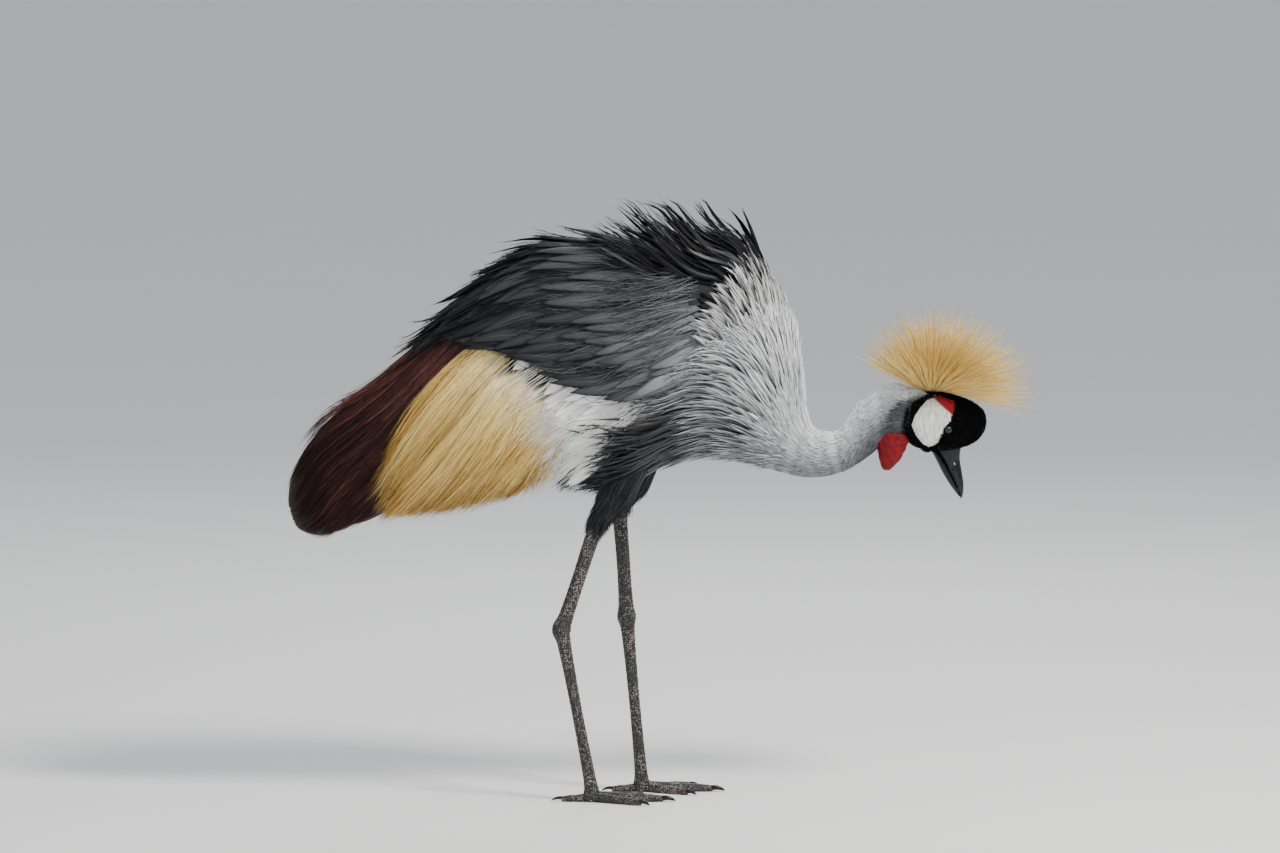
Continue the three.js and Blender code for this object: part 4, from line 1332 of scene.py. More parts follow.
@dataclass
class Skin:
    """One skin of head, neck, trunk, arms and legs under the feathers."""

    lofts: Lofts
    face: Face
    legs: Sequence[Leg]
    columns: int = 168
    body_depth: Curve = ((0, -1.3), (3, -2.4), (6.3, -4), (8, -9), (14, -10), (18, -7))
    head_depth: Curve = ((0, -1.3), (1.5, -1.2), (2.6, -1.9), (5.2, -1.9), (5.8, -0.8), (6, 0))

    def trunk(self) -> Piece:
        """The tube from the rump along the neck and round the head to the bill.

        Returns:
            The tube.
        """
        t_body = np.linspace(self.lofts.body.last, 0.02, 170)
        t_head = np.linspace(0, self.lofts.skull.last, 230)
        phi = np.linspace(0, 360, self.columns, endpoint=False)
        body = self.lofts.body.grid(t_body, self.columns, curve(self.body_depth, t_body) * MM)
        surface = self.lofts.skull.point(t_head[:, None], phi[None, :], 0)
        bare = self.face.bare(surface)
        pad = np.maximum(*self.face.depths(surface))
        rho = self.face.lid_distance(surface)
        lid = 1.5 * np.exp(-(((rho - 1.0) / 0.2) ** 2)) - 3.4 * smooth(1.0, 0.72, rho)
        facing = smooth(0.15, 0.5, np.abs(np.sin(np.radians(phi))))[None, :]
        depth = curve(self.head_depth, t_head)[:, None] * MM * (1 - bare)
        depth = depth + (0.2 + 1.6 * smooth(0, 6, pad)) * MM * bare + lid * MM * facing
        head = self.lofts.skull.point(t_head[:, None], phi[None, :], depth)
        return tube_object("trunk", np.concatenate([body, head]))

    def arm(self, side: float) -> Piece:
        """The folded wing's arm, a thick plate under its feathers.

        Args:
            side: 1 on the left and -1 on the right.

        Returns:
            The plate.
        """
        cape = self.lofts.cape
        t = np.linspace(0.25, 4.7, 40)[:, None]
        outer = cape.point(t, np.linspace(2, 116, 30)[None, :], -9.5 * MM, side)
        inner = cape.point(t, np.linspace(116, 2, 30)[None, :], -28 * MM, side)
        return tube_object("arm", np.concatenate([outer, inner], 1))

    def build(self) -> Piece:
        """Joins the parts and marks what each stretch of the skin is.

        Returns:
            The skin.
        """
        parts = [self.arm(side) for side in SIDES.values()]
        for leg in self.legs:
            parts += leg.bare_parts()
        skin = combine("skin", self.trunk(), parts)
        points = points_of(skin)
        x, z = self.face.plane(points)
        on_head = smooth(330, 336, x) * smooth(412, 416, z)
        wide = smooth(30, 60, np.abs(points[:, 1]) / MM)
        for name, values in {
            "cheek": self.face.cheek(points) * on_head,
            "brow": self.face.brow(points) * on_head,
            "black": self.face.black(points) * on_head,
            "leg": smooth(372, 352, z) * smooth(250, 240, x),
            "neck": smooth(225, 245, x) * (1 - 0.85 * self.face.halo(x, z)),
            "panel": smooth(-4, 4, outline_depth(PANEL_OUTLINE, x, z)) * wide,
        }.items():
            set_attribute(skin, name, values)
        LOG.info("skin: %d triangles", sum(len(face.vertices) - 2 for face in skin.data.polygons))
        return skin


@dataclass(frozen=True)
class SkinFinish:
    """Black velvet ground, white cheek, red brow, pearl neck and scaly dark legs on one skin."""

    name: str = "skin"
    velvet: Colour = (0.002, 0.002, 0.003)
    cheek: Colour = (0.82, 0.82, 0.79)
    cheek_shade: Colour = (0.5, 0.51, 0.45)
    brow: Colour = (0.34, 0.002, 0.011)
    brow_shade: Colour = (0.16, 0.001, 0.005)
    neck: Colour = (0.3, 0.31, 0.32)
    # Near black: painted shade that shows in the gaps between the feathers.
    trunk: Colour = (0.008, 0.0085, 0.01)
    panel: Colour = (0.62, 0.58, 0.48)
    leg: Colour = (0.018, 0.016, 0.016)
    leg_pale: Colour = (0.26, 0.235, 0.2)

    def material(self) -> Material:
        """The finish as a node material.

        Returns:
            The material.
        """
        g = Graph(self.name)
        names = ("cheek", "brow", "black", "leg", "neck", "panel")
        cheek, brow, black, leg, neck, panel = (g.attribute(name) for name in names)
        place = g.node("ShaderNodeTexCoord").outputs["Object"]
        lean = {"Vector": place, "Rotation": (0.0, math.radians(35), 0.0), "Scale": (70.0, 70.0, 12.0)}
        fine = g.noise(6.0, g.node("ShaderNodeMapping", lean).outputs["Vector"], 4.0)
        pores = g.noise(1500.0, place, 2.0)
        blotch = g.noise(60.0, place, 3.0)
        cells = g.node("ShaderNodeTexVoronoi", {"Vector": place, "Scale": 420.0, "Randomness": 0.7})
        white = g.mix(g.rise(fine, 0.35, 0.7), self.cheek_shade, self.cheek)
        red = g.mix(g.rise(pores, 0.3, 0.7), self.brow_shade, self.brow)
        spots = g.rise(cells.outputs["Distance"], 0.5, 0.22)
        spots = g.math("MULTIPLY", spots, g.rise(blotch, 0.35, 0.62, (0.25, 1.0)))
        scaly = g.mix(spots, self.leg, self.leg_pale)
        colour = g.mix(neck, self.trunk, self.neck)
        for share, over in (
            (panel, self.panel), (black, self.velvet), (leg, scaly), (cheek, white), (brow, red),
        ):
            colour = g.mix(share, colour, over)
        height = g.math("ADD", fine, g.math("MULTIPLY", spots, leg))
        g.bump(g.math("ADD", g.math("MULTIPLY", pores, 0.5), height), 0.25, 0.0004)
        rough = g.math("SUBTRACT", 0.75, g.math("MULTIPLY", g.math("ADD", leg, cheek), 0.22))
        return g.surface(Base_Color=colour, Roughness=rough, Specular_IOR_Level=0.3)


@dataclass
class Eyes:
    """The two eyes with iris and pupil, and the rims of their lids."""

    shift: float
    detail: int = 64

    def ball(self, name: str, side: float) -> Piece:
        """One eyeball, its pole looking outward.

        Args:
            name: The side's name.
            side: 1 on the left and -1 on the right.

        Returns:
            The eyeball.
        """
        low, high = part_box(f"eye_{name}")
        centre = np.array((low + high) / 2)
        latitude = np.linspace(0.001, math.pi - 0.001, self.detail // 2)[:, None]
        longitude = np.linspace(0, 2 * math.pi, self.detail, endpoint=False)[None, :]
        radius = EYE_RADIUS * MM * 0.97
        out = side * radius * np.cos(latitude) * (1 + 0.05 * smooth(0.75, 0.2, latitude))
        x, z = (radius * np.sin(latitude) * turn(longitude) for turn in (np.cos, np.sin))
        piece = tube_object(f"eyeball_{name}", np.stack([x, out + 0 * longitude, z], -1) + centre)
        points = points_of(piece) - centre
        set_attribute(piece, "gaze", np.arccos(np.clip(unit(points)[:, 1] * side, -1, 1)))
        return piece

    def material(self) -> Material:
        """An iris darkened by painted shade, dark rim and black pupil under a wet surface.

        Returns:
            The material.
        """
        g = Graph("eye")
        gaze = g.attribute("gaze")
        fibres = g.noise(900.0, None, 4.0, 0.7)
        # Dark iris colours: painted shade over an iris that is pale blue-grey.
        iris = g.mix(g.rise(fibres, 0.3, 0.7), (0.01, 0.016, 0.019), (0.028, 0.042, 0.046))
        colour = g.mix(g.rise(gaze, 0.42, 0.5), (0.002, 0.002, 0.002), iris)
        colour = g.mix(g.rise(gaze, 0.68, 0.78), colour, (0.006, 0.006, 0.007))
        return g.surface(Base_Color=colour, Roughness=0.12, Specular_IOR_Level=0.4)


@dataclass
class Bill:
    """The two halves of the bill, with the slot of the nostril through the upper one."""

    shift: float
    nostril: tuple[float, float, float, float, float] = (401.6, 403.4, 10, 4.2, -17)
    through: tuple[float, float] = (4.6, 1.5)
    groove: float = 1.7

    def upper(self) -> Piece:
        """The upper half, hollowed round the nostril.

        Returns:
            The piece.
        """
        loft = RibLoft(UPPER_BILL_RIBS, self.shift)
        t = np.linspace(0, loft.last, 150)[:, None]
        phi = np.linspace(0, 360, 96, endpoint=False)[None, :]
        surface = loft.point(t, phi)
        x, z, long, high, lean = self.nostril
        px, pz = (surface[..., 0] - self.shift) / MM - x, surface[..., 2] / MM - z
        turn = math.radians(-lean)
        across = px * math.cos(turn) - pz * math.sin(turn)
        down = px * math.sin(turn) + pz * math.cos(turn)
        near = np.hypot(across / (high * 1.25), down / (long * 0.95))
        depth = -self.groove * smooth(1.15, 0.45, near) * MM
        ridge = 0.35 * MM * np.cos(np.radians(phi)) ** 8 * (np.abs(phi - 180) > 90)
        bill = tube_object("bill_upper_shell", loft.point(t, phi, depth + ridge))
        return combine("bill_upper_horn", bill, [self.slot()], "DIFFERENCE")

    def slot(self) -> Piece:
        """The long oval that goes through the bill.

        Returns:
            Its outline as a solid.
        """
        x, z, _, _, lean = self.nostril
        long, high = self.through
        angle = np.linspace(0, 2 * math.pi, 40, endpoint=False)
        turn = math.radians(lean)
        flat = np.stack([high / 2 * np.cos(angle), long / 2 * np.sin(angle)])
        ring_x = x + flat[0] * math.cos(turn) + flat[1] * math.sin(turn)
        ring_z = z - flat[0] * math.sin(turn) + flat[1] * math.cos(turn)
        x, z = ring_x * MM + self.shift, ring_z * MM
        return tube_object("slot", np.stack([
            np.stack([x, np.full_like(x, y * MM), z], -1) for y in np.linspace(-14, 14, 8)
        ]))

    def lower(self) -> Piece:
        """The lower half.

        Returns:
            The piece.
        """
        loft = RibLoft(LOWER_BILL_RIBS, self.shift)
        t = np.linspace(0, loft.last, 110)
        phi = np.linspace(0, 360, 72, endpoint=False)[None, :]
        closing = 0.8 * MM * smooth(0.2, 0.9, np.cos(np.radians(phi)))
        return tube_object("bill_lower_horn", loft.point(t[:, None], phi, closing))

    def material(self) -> Material:
        """Blackish horn with fine growth lines.

        Returns:
            The material.
        """
        g = Graph("bill_horn")
        place = g.node("ShaderNodeTexCoord").outputs["Object"]
        lean = {"Vector": place, "Rotation": (0.0, math.radians(-18), 0.0), "Scale": (900.0, 900.0, 70.0)}
        lines = g.noise(1.0, g.node("ShaderNodeMapping", lean).outputs["Vector"], 4.0, 0.6)
        cloud = g.noise(130.0, place, 3.0)
        colour = g.mix(g.rise(cloud, 0.35, 0.7), (0.0018, 0.0021, 0.003), (0.0072, 0.0078, 0.0108))
        colour = g.mix(g.rise(lines, 0.5, 0.75, (0.0, 0.4)), colour, (0.033, 0.036, 0.048))
        g.bump(lines, 0.3, 0.0003)
        rough = g.rise(lines, 0.3, 0.7, (0.2, 0.34))
        return g.surface(Base_Color=colour, Roughness=rough, Specular_IOR_Level=0.3)


@dataclass
class Wattle:
    """The red wattle at the throat: bulbs that run together, with folds between them."""

    shift: float
    bulbs: tuple[tuple[float, ...], ...] = (
        (328, 8, 436, 19.5, 9, 10), (326, 8.6, 426, 17.5, 9.6, 11), (324, 8.8, 416, 14.5, 9.4, 11),
        (321.5, 8, 407, 10, 8, 9), (320, 7, 402.5, 6.5, 6, 7),
    )
    steps: int = 3
    lean: float = 10

    def build(self) -> Piece:
        """Joins the bulbs, softens them and folds their skin.

        Returns:
            The piece.
        """
        parts = []
        lean = math.radians(self.lean)
        places = np.linspace(0, len(self.bulbs) - 1, (len(self.bulbs) - 1) * self.steps + 1)
        for side in SIDES.values():
            for x, y, z, long, wide, high in between(np.array(self.bulbs, float), places):
                shape = ball(24, 32) * np.array([long, wide, high])
                points = np.stack([
                    shape[..., 0] * math.cos(lean) + shape[..., 2] * math.sin(lean), shape[..., 1],
                    shape[..., 2] * math.cos(lean) - shape[..., 0] * math.sin(lean),
                ], -1) + np.array([x, side * y, z])
                parts.append(tube_object("bulb", points * MM + np.array([self.shift, 0, 0])))
        whole = combine("wattle_rough", parts[0], parts[1:])
        remesh = whole.modifiers.new("remesh", "REMESH")
        remesh.mode = "VOXEL"
        remesh.voxel_size = 0.6 * MM
        relax = whole.modifiers.new("relax", "SMOOTH")
        relax.iterations = 22
        piece = settle("wattle_skin", whole)
        points = points_of(piece)
        x, y, z = (points / MM).T
        fold = np.sin(z * 0.62 + 1.3 * np.sin(x * 0.21) + np.sign(y) * 0.8)
        fold = fold + 0.5 * np.sin(x * 0.9 + z * 0.35)
        middle = np.array([np.median(x) * MM, 0, np.median(z) * MM])
        away = unit(points - middle)
        set_points(piece, points + away * (0.28 * MM * fold)[:, None])
        return piece

    def material(self) -> Material:
        """Red bare skin with fine warts, darker in the grooves between them as painted shade.

        Returns:
            The material.
        """
        g = Graph("wattle_skin")
        place = g.node("ShaderNodeTexCoord").outputs["Object"]
        warts = g.node("ShaderNodeTexVoronoi", {"Vector": place, "Scale": 780.0}).outputs["Distance"]
        cloud = g.noise(140.0, place, 3.0)
        colour = g.mix(g.rise(cloud, 0.3, 0.7), (0.12, 0.0006, 0.004), (0.23, 0.0012, 0.006))
        # Darker in the grooves between warts: painted shade.
        colour = g.mix(g.rise(warts, 0.1, 0.6, (0.0, 0.4)), colour, (0.06, 0.0006, 0.003))
        g.bump(g.math("SUBTRACT", 1.0, warts), 0.45, 0.0005)
        return g.surface(Base_Color=colour, Roughness=0.55, Specular_IOR_Level=0.2)


# Hackle: pale brings painted highlight on top of the breast, toned brings painted shade on the flank and the
# belly.
HACKLE = FeatherFinish(
    "hackle", (0.012, 0.012, 0.014), (0.38, 0.39, 0.4), (0.62, 0.63, 0.64), (0.02, 0.022, 0.026),
    (0.7, 0.71, 0.71), shaft_width=0.12, shaft_share=0.3, edge=0.35, barbs=1100.0, rough=0.65,
    pale=(0.78, 0.79, 0.8), dark_root=0.28,
)
# Pearl: pale is painted highlight on top of the neck; toned is painted shade under it and the neck's own dark
# next to the black head.
PEARL = FeatherFinish(
    "pearl", (0.48, 0.49, 0.505), (0.52, 0.535, 0.55), (0.56, 0.575, 0.59), (0.05, 0.057, 0.064),
    (0.6, 0.61, 0.62), shaft_share=0.05, edge=0.05, streak=0.04, vary=0.05, rough=0.7,
    pale=(0.82, 0.83, 0.84), bump=0.15,
)
VELVET = FeatherFinish(
    "velvet", (0.002, 0.002, 0.002), (0.003, 0.003, 0.004), (0.005, 0.005, 0.006), (0.3, 0.31, 0.32),
    (0.005, 0.005, 0.006), shaft_share=0.0, rough=0.9, sheen=0.0, gloss=0.08,
)
MANTLE = FeatherFinish(
    "mantle", (0.01, 0.01, 0.012), (0.26, 0.265, 0.27), (0.4, 0.4, 0.4), (0.003, 0.003, 0.004),
    (0.36, 0.37, 0.39), shaft_width=0.05, shaft_share=0.1, edge=-0.2, rough=0.5, pale=(0.5, 0.5, 0.49),
    dark_root=0.4, gloss=0.3,
)
SLATE = FeatherFinish(
    "slate", (0.034, 0.036, 0.041), (0.05, 0.053, 0.059), (0.026, 0.028, 0.033), (0.002, 0.002, 0.003),
    (0.15, 0.16, 0.175), shaft_width=0.035, shaft_share=0.2, edge=0.3, streak=0.2, barbs=800.0, rough=0.6,
    pale=(0.3, 0.31, 0.325), rim=0.16, bump=0.2, sheen=0.0, gloss=0.2,
)
INK = FeatherFinish(
    "ink", (0.008, 0.008, 0.01), (0.004, 0.004, 0.005), (0.002, 0.002, 0.003), (0.045, 0.047, 0.054),
    (0.022, 0.022, 0.027), rough=0.45, pale=(0.04, 0.041, 0.046), sheen=0.02, gloss=0.3,
)
PLUME = FeatherFinish(
    "plume", (0.002, 0.002, 0.003), (0.002, 0.002, 0.003), (0.003, 0.003, 0.004), (0.24, 0.245, 0.255),
    (0.12, 0.122, 0.13), shaft_width=0.04, shaft_share=0.12, edge=0.0, rough=0.5, rim=0.6, sheen=0.0,
    gloss=0.15,
)
WHITE = FeatherFinish(
    "white_web", (0.78, 0.78, 0.75), (0.84, 0.84, 0.82), (0.86, 0.86, 0.84), (0.8, 0.68, 0.43),
    (0.86, 0.86, 0.84), shaft_share=0.15, edge=0.03, streak=0.04, vary=0.03, rough=0.6, bump=0.2,
)
# Gold: pale is dark brown painted shade between locks; toned is cream, partly the plumes' own paler strands,
# partly painted highlight.
GOLD = FeatherFinish(
    "gold", (0.88, 0.75, 0.4), (0.82, 0.54, 0.11), (0.6, 0.31, 0.03), (0.92, 0.73, 0.3),
    (0.88, 0.72, 0.34), shaft_width=0.15, shaft_share=0.4, edge=0.2, streak=0.4, rough=0.5,
    pale=(0.2, 0.08, 0.012), gloss=0.25, sheen=0.0,
)
# Chestnut: toned is a paler red-brown painted highlight, strongest on the wisps on top.
CHESTNUT = FeatherFinish(
    "chestnut", (0.03, 0.009, 0.008), (0.05, 0.013, 0.011), (0.018, 0.006, 0.006), (0.13, 0.045, 0.034),
    (0.06, 0.019, 0.015), shaft_share=0.3, streak=0.7, vary=0.6, barbs=700.0, rough=0.45,
    pale=(0.006, 0.002, 0.002), sheen=0.0, gloss=0.22,
)


# Hair of the neck next to the head, further down and at its base.
FLUFF_CUT = Cut(4, Section.BRISTLE, Outline.LANCE, 0.25, roll=1, loose=0.2)
DOWN_CUT = Cut(5, Section.BRISTLE, Outline.LANCE, 0.25, roll=1, loose=0.2)
SILK_CUT = Cut(5, Section.BLADE, Outline.LANCE, 0.25, roll=1, loose=0.2)
HACKLE_CUT = Cut(7, Section.BLADE, Outline.LANCE, 0.5, roll=16, loose=1.6)
BELLY_CUT = Cut(6, Section.BLADE, Outline.LANCE, 0.5, roll=12, loose=2)
THIGH_CUT = Cut(5, Section.BRISTLE, Outline.LANCE, 0.5, roll=10, loose=1.6)
WEB_CUT = Cut(8, Section.VANE, Outline.LANCE, 0.5, 0.25, 16, 1.8)
PLUME_CUT = Cut(12, Section.VANE, Outline.LANCE, 0.6, 0.25, 20, 3.5)
RIDGE_CUT = Cut(12, Section.VANE, Outline.LANCE, 0.5, 0.2, 20, 3)
UNDER_LEAF_CUT = Cut(10, Section.VANE, Outline.LEAF, 0.5, 0.07, 4, 3.0)
LEAF_CUT = Cut(14, Section.VANE, Outline.LEAF, 0.6, 0.07, 4, 3.0)
LEAF_HAIR_CUT = Cut(7, Section.BRISTLE, Outline.HAIR, 0.3, loose=1.6)
WHITE_CUT = Cut(12, Section.VANE, Outline.LANCE, 0.4, 0.04, 2.5, 0.8)
WHITE_HAIR_CUT = Cut(7, Section.BRISTLE, Outline.HAIR, 0.4, 0.04, 2.5, 0.8)
GOLD_CUT = Cut(14, Section.VANE, Outline.LONG, 0.5, roll=10)
GOLD_HAIR_CUT = Cut(8, Section.BRISTLE, Outline.HAIR, 0.45, loose=3.2)
TERTIAL_CUT = Cut(20, Section.VANE, Outline.LONG, 0.7, 0.2, 8)
SECONDARY_CUT = Cut(26, Section.VANE, Outline.LONG, 0.8, 0.2, 8)
SECONDARY_HAIR_CUT = Cut(8, Section.BRISTLE, Outline.HAIR, 0.5, loose=2.0)
WISP_CUT = Cut(12, Section.BRISTLE, Outline.HAIR, 0.5, loose=2.0)
PRIMARY_CUT = Cut(18, Section.VANE, Outline.LONG, 0.9)
TAIL_CUT = Cut(14, Section.VANE, Outline.LONG, 0.8)
VELVET_CUT = Cut(3, Section.BRISTLE, Outline.TUFT, 0.5, loose=0.5)
FRAY_CUT = Cut(5, Section.BRISTLE, Outline.HAIR, 0.3, camber=0.0)
CREST_CUT = Cut(10, Section.BRISTLE, Outline.HAIR, 0.75, camber=0.0)


def laid(
    draw: Draws, plan: Sequence[tuple[float, ...]], stray: tuple[float, float] = (0.08, 1.5),
) -> Array:
    """Feathers in staggered rows.

    Args:
        draw: The random draws.
        plan: For each row its t, how many, first and last phi, length and width.
        stray: How far t and phi stray.

    Returns:
        Arrays of t, phi, length and width.
    """
    rows = []
    for number, (t, count, first, last, length, width) in enumerate(plan):
        share = (np.arange(count) + 0.25 + 0.5 * (number % 2)) / count
        along = first + (last - first) * share
        rows.append(np.stack([0 * share + t, along, 0 * share + length, 0 * share + width], -1))
    feathers = np.concatenate(rows)
    count = len(feathers)
    feathers[:, 0] = np.maximum(feathers[:, 0] + draw.normal(0, stray[0], count), 0.01)
    feathers[:, 1] += draw.normal(0, stray[1], count)
    feathers[:, 2:] *= draw.uniform(0.9, 1.12, (count, 2))
    return feathers.T


@dataclass
class Half:
    """One side of the bird, 1 on the left and -1 on the right, with a tract's random draws."""

    name: str
    side: float
    draw: Draws


@dataclass
class Tracts:
    """The feather tracts. Each one's method builds its pieces and dresses them."""

    lofts: Lofts
    face: Face
    legs: Sequence[Leg]
    skin: BVHTree
    # Where the breast's feathers stop below the mantle: phi on the body and the t of their tips.
    hackle_stop: Curve = (
        (0, 8.6), (25, 9.2), (45, 9.75), (60, 10.1), (75, 10.6), (84, 11.4), (92, 14),
    )
    # How long the breast's feathers are: t on the body and millimetres.
    hackle_length: Curve = ((6, 46), (7.5, 72), (9, 94), (11, 104), (13, 100), (15.6, 76))
    # Long feathers that drape the flank and fringe the belly: how many, t, phi, length, levels, lift,
    # the phi over which the lift sets in, turn, t of the tips and the greatest tone.
    drapes: tuple[tuple, ...] = (
        (260, (11.0, 13.1), (98, 146), (74, 118), (-6, 4), (8, 34), (84, 120), (4, 22), (13.9, 14.5), 0.8),
        (300, (9.9, 12.6), (118, 176), (70, 112), (-8, 17), (4, 18), (-1, 0), (-12, 4), (13.0, 14.2), 0.9),
    )
    # How far down the mantle's pale webs reach: t on the body and phi.
    web_edge: Curve = ((8, 40), (9, 62), (10, 78), (10.5, 76), (11, 68), (12, 54), (12.9, 38))
    # How far back they reach: phi on the body and t.
    web_end: Curve = ((0, 13.6), (30, 13.2), (50, 12.6), (66, 11.9), (80, 11.2))
    # Length and height in millimetres of the raised plumes: t on the body comes first.
    plume_length: Curve = ((8.9, 100), (9.5, 132), (10.3, 168), (11.0, 172), (12.0, 120))
    plume_height: Curve = ((8.9, 26), (9.5, 70), (10.1, 98), (10.9, 100), (11.6, 72), (12.0, 26))
    # Height in metres above which the raised plumes are pressed down, how far the tips may still pass
    # it and how softly the pressing sets in.
    plume_ceiling: tuple[float, float, float] = (0.715, 0.014, 0.04)
    # Millimetres above the skin at root and tip of the short hair next to the black.
    hug_level: Range = (-0.1, 1.0)
    # How far down the slate leaves reach: t on the cape and phi.
    slate_edge: Curve = (
        (0, 96), (0.8, 99), (1.65, 104), (2.45, 100), (3.3, 88), (3.9, 80), (4.65, 68), (5.2, 58),
        (6, 36),
    )
    # How many degrees they turn down towards their tips: t on the cape comes first.
    slate_turn: Curve = ((0, 16), (1, 13), (2, 8), (3, 2), (4.3, -3))
    # Rows of leaves: t, how many, first and last phi, length and width.
    slate_rows: tuple[tuple[float, ...], ...] = (
        (0.1, 4, 76, 92, 96, 20), (0.45, 5, 72, 92, 110, 20), (0.85, 7, 52, 93, 124, 21),
        (1.25, 9, 30, 94, 136, 21), (1.7, 11, 8, 94, 146, 22), (2.15, 11, 6, 92, 152, 22),
        (2.6, 10, 6, 88, 156, 22), (3.05, 9, 6, 80, 150, 22), (3.5, 8, 6, 72, 140, 21),
        (3.95, 7, 6, 62, 126, 20), (4.35, 6, 6, 52, 110, 19),
    )
    # How far back the white panel reaches: phi on the cape and t.
    white_end: Curve = ((76, 4.6), (88, 4.05), (98, 3.6), (110, 3.3), (125, 3.15), (145, 3.0))
    # Root t, root phi, tip t and tip phi of the plumes, from the top of the wing down.
    gold_plumes: tuple[tuple[float, ...], ...] = (
        (4.72, 59, 6.75, 98), (4.7, 66, 6.95, 116), (4.58, 73, 6.65, 136), (4.43, 79, 6.25, 146),
        (4.3, 83, 5.95, 150), (4.15, 87, 5.65, 151), (4, 91, 5.35, 152), (3.85, 94, 5.05, 151),
        (3.7, 97, 4.75, 150), (3.55, 100, 4.4, 149), (3.4, 103, 4.05, 147), (3.25, 106, 3.8, 147),
        (3.1, 108, 3.55, 146),
    )
    tertials: tuple[tuple[float, ...], ...] = (
        (4.5, 8, 8.4, 14), (4.5, 18, 8.7, 26), (4.52, 28, 8.3, 38), (4.55, 38, 6.4, 42),
        (4.55, 47, 5.7, 48),
    )
    secondaries: tuple[tuple[float, ...], ...] = (
        (4.9, 2, 11.2, 6), (4.8, 16, 11.6, 30), (4.6, 33, 11.95, 74), (4.45, 48, 11.95, 122),
        (4.5, 62, 11.5, 158), (5.1, 82, 10.3, 163), (5.1, 97, 9.0, 160), (5.1, 112, 7.9, 156),
    )
    primaries: tuple[tuple[float, ...], ...] = ((4.95, 78, 9.5, 118), (5, 98, 8.7, 134))

    def build(self) -> None:
        """Builds all tracts, each from its own seed."""
        self.neck(np.random.default_rng(31))
        self.pair(self.breast, 41, HACKLE)
        self.belly(np.random.default_rng(51))
        self.pair(self.mantle, 61, MANTLE, PLUME)
        self.pair(self.scapulars, 71, SLATE)
        self.pair(self.coverts, 81, WHITE)
        self.pair(self.golden, 91, GOLD)
        self.pair(self.hind_wing, 101, INK, CHESTNUT)
        self.tail(np.random.default_rng(111))
        self.plush(np.random.default_rng(121))

    def pair(self, tract: Callable[..., None], seed: int, *finishes: FeatherFinish) -> None:
        """Builds a tract on both sides.

        Args:
            tract: The method that builds one side.
            seed: The left side's seed. The right side takes the next one.
            finishes: The finishes of its pieces.
        """
        materials = [finish.material() for finish in finishes]
        for number, (name, side) in enumerate(SIDES.items()):
            tract(Half(name, side, np.random.default_rng(seed + number)), *materials)

    def neck(self, draw: Draws) -> None:
        """Silky feathers of the neck, shorter and finer towards the head.

        Args:
            draw: The random draws.
        """
        body, skull = self.lofts.body, self.lofts.skull
        parts = []
        for loft, first, last, area, length, width, cut in (
            (skull, 0.0, 1.5, 1.9, 9.0, 1.3, FLUFF_CUT), (body, 0.0, 1.2, 2.6, 12.0, 1.4, FLUFF_CUT),
            (body, 1.2, 3.4, 4.2, 20.0, 1.9, DOWN_CUT), (body, 3.4, 5.4, 5.8, 30.0, 2.2, SILK_CUT),
            (body, 5.4, 7.4, 9.5, 44.0, 3.2, SILK_CUT),
        ):
            for side in SIDES.values():
                t, phi = loft.scatter(draw, (first, last), (0, 180), area)
                count = len(t)
                roots = loft.point(t, phi, 0, side)
                back = -length if loft is skull else length
                lengths, widths = (size * draw.uniform(0.8, 1.2, count) for size in (length, width))
                row = Row(
                    loft, t, phi, lengths, widths, side, (-3.2, 0.7),
                    end=loft.after(t, phi, back * MM), bow=draw.normal(0, 0.6, count),
                    lift=6 * smooth(4.4, 6.0, t) * smooth(75, 30, phi) * (loft is body),
                )
                clear = draw.random(count) > 0.8 * self.face.black(roots)
                row = chosen(row, clear & (self.face.bare(roots) < 0.2))
                strands = row.strands(draw, cut, self.neck_tone(row))
                if cut is FLUFF_CUT:
                    ahead = loft.point(row.t + 0.06, row.phi, 0, side) - loft.point(row.t, row.phi, 0, side)
                    self.hug(strands, ahead, back)
                parts.append(strands)
        dress(coat_piece("neck_feathers", parts), PEARL.material(), "pearl")

    def neck_tone(self, row: Row) -> Array:
        """How dark the neck's feathers are: painted highlight above, painted shade below, dark next to the
        black.

        Args:
            row: The feathers.

        Returns:
            Numbers from -1 to 1.
        """
        x, z = self.face.plane(row.loft.point(row.t, row.phi, 0, row.side))
        down = 1 - np.cos(np.radians(row.phi))
        near = 0.5 + 0.5 * smooth(250, 330, x)
        # Paler on top: painted highlight. Darker underneath, more so towards the head: painted shade.
        tone = -0.75 * smooth(0.75, 0.05, down) * smooth(215, 235, x) + smooth(0.35, 1.65, down) * near
        tone = tone - 0.5 * smooth(40, 10, row.phi) * smooth(200, 235, x)
        return np.clip(tone + 1.1 * self.face.halo(x, z), -1, 1)

    def hug(self, strands: Strands, ahead: Array, length: float) -> None:
        """Lays short strands straight along the skin, over the joint of two lofts.

        Args:
            strands: The strands, whose roots stay.
            ahead: Each one's direction.
            length: Their length in millimetres, below 0 to lay them backwards.
        """
        count, stations, _ = strands.points.shape
        share = np.linspace(0, 1, stations)
        way = unit(ahead) * np.sign(length)
        long = np.linalg.norm(strands.points[:, -1] - strands.points[:, 0], axis=-1)
        long = np.maximum(long, 0.8 * abs(length) * MM)
        line = strands.points[:, :1] + way[:, None, :] * (long[:, None] * share[None, :])[..., None]
        low, high = self.hug_level
        rise = (low + (high - low) * share) * MM
        for number in range(count):
            for station in range(stations):
                place, normal, _, _ = self.skin.find_nearest(Vector(line[number, station]))
                strands.points[number, station] = place + normal * rise[station]
                strands.out[number, station] = normal

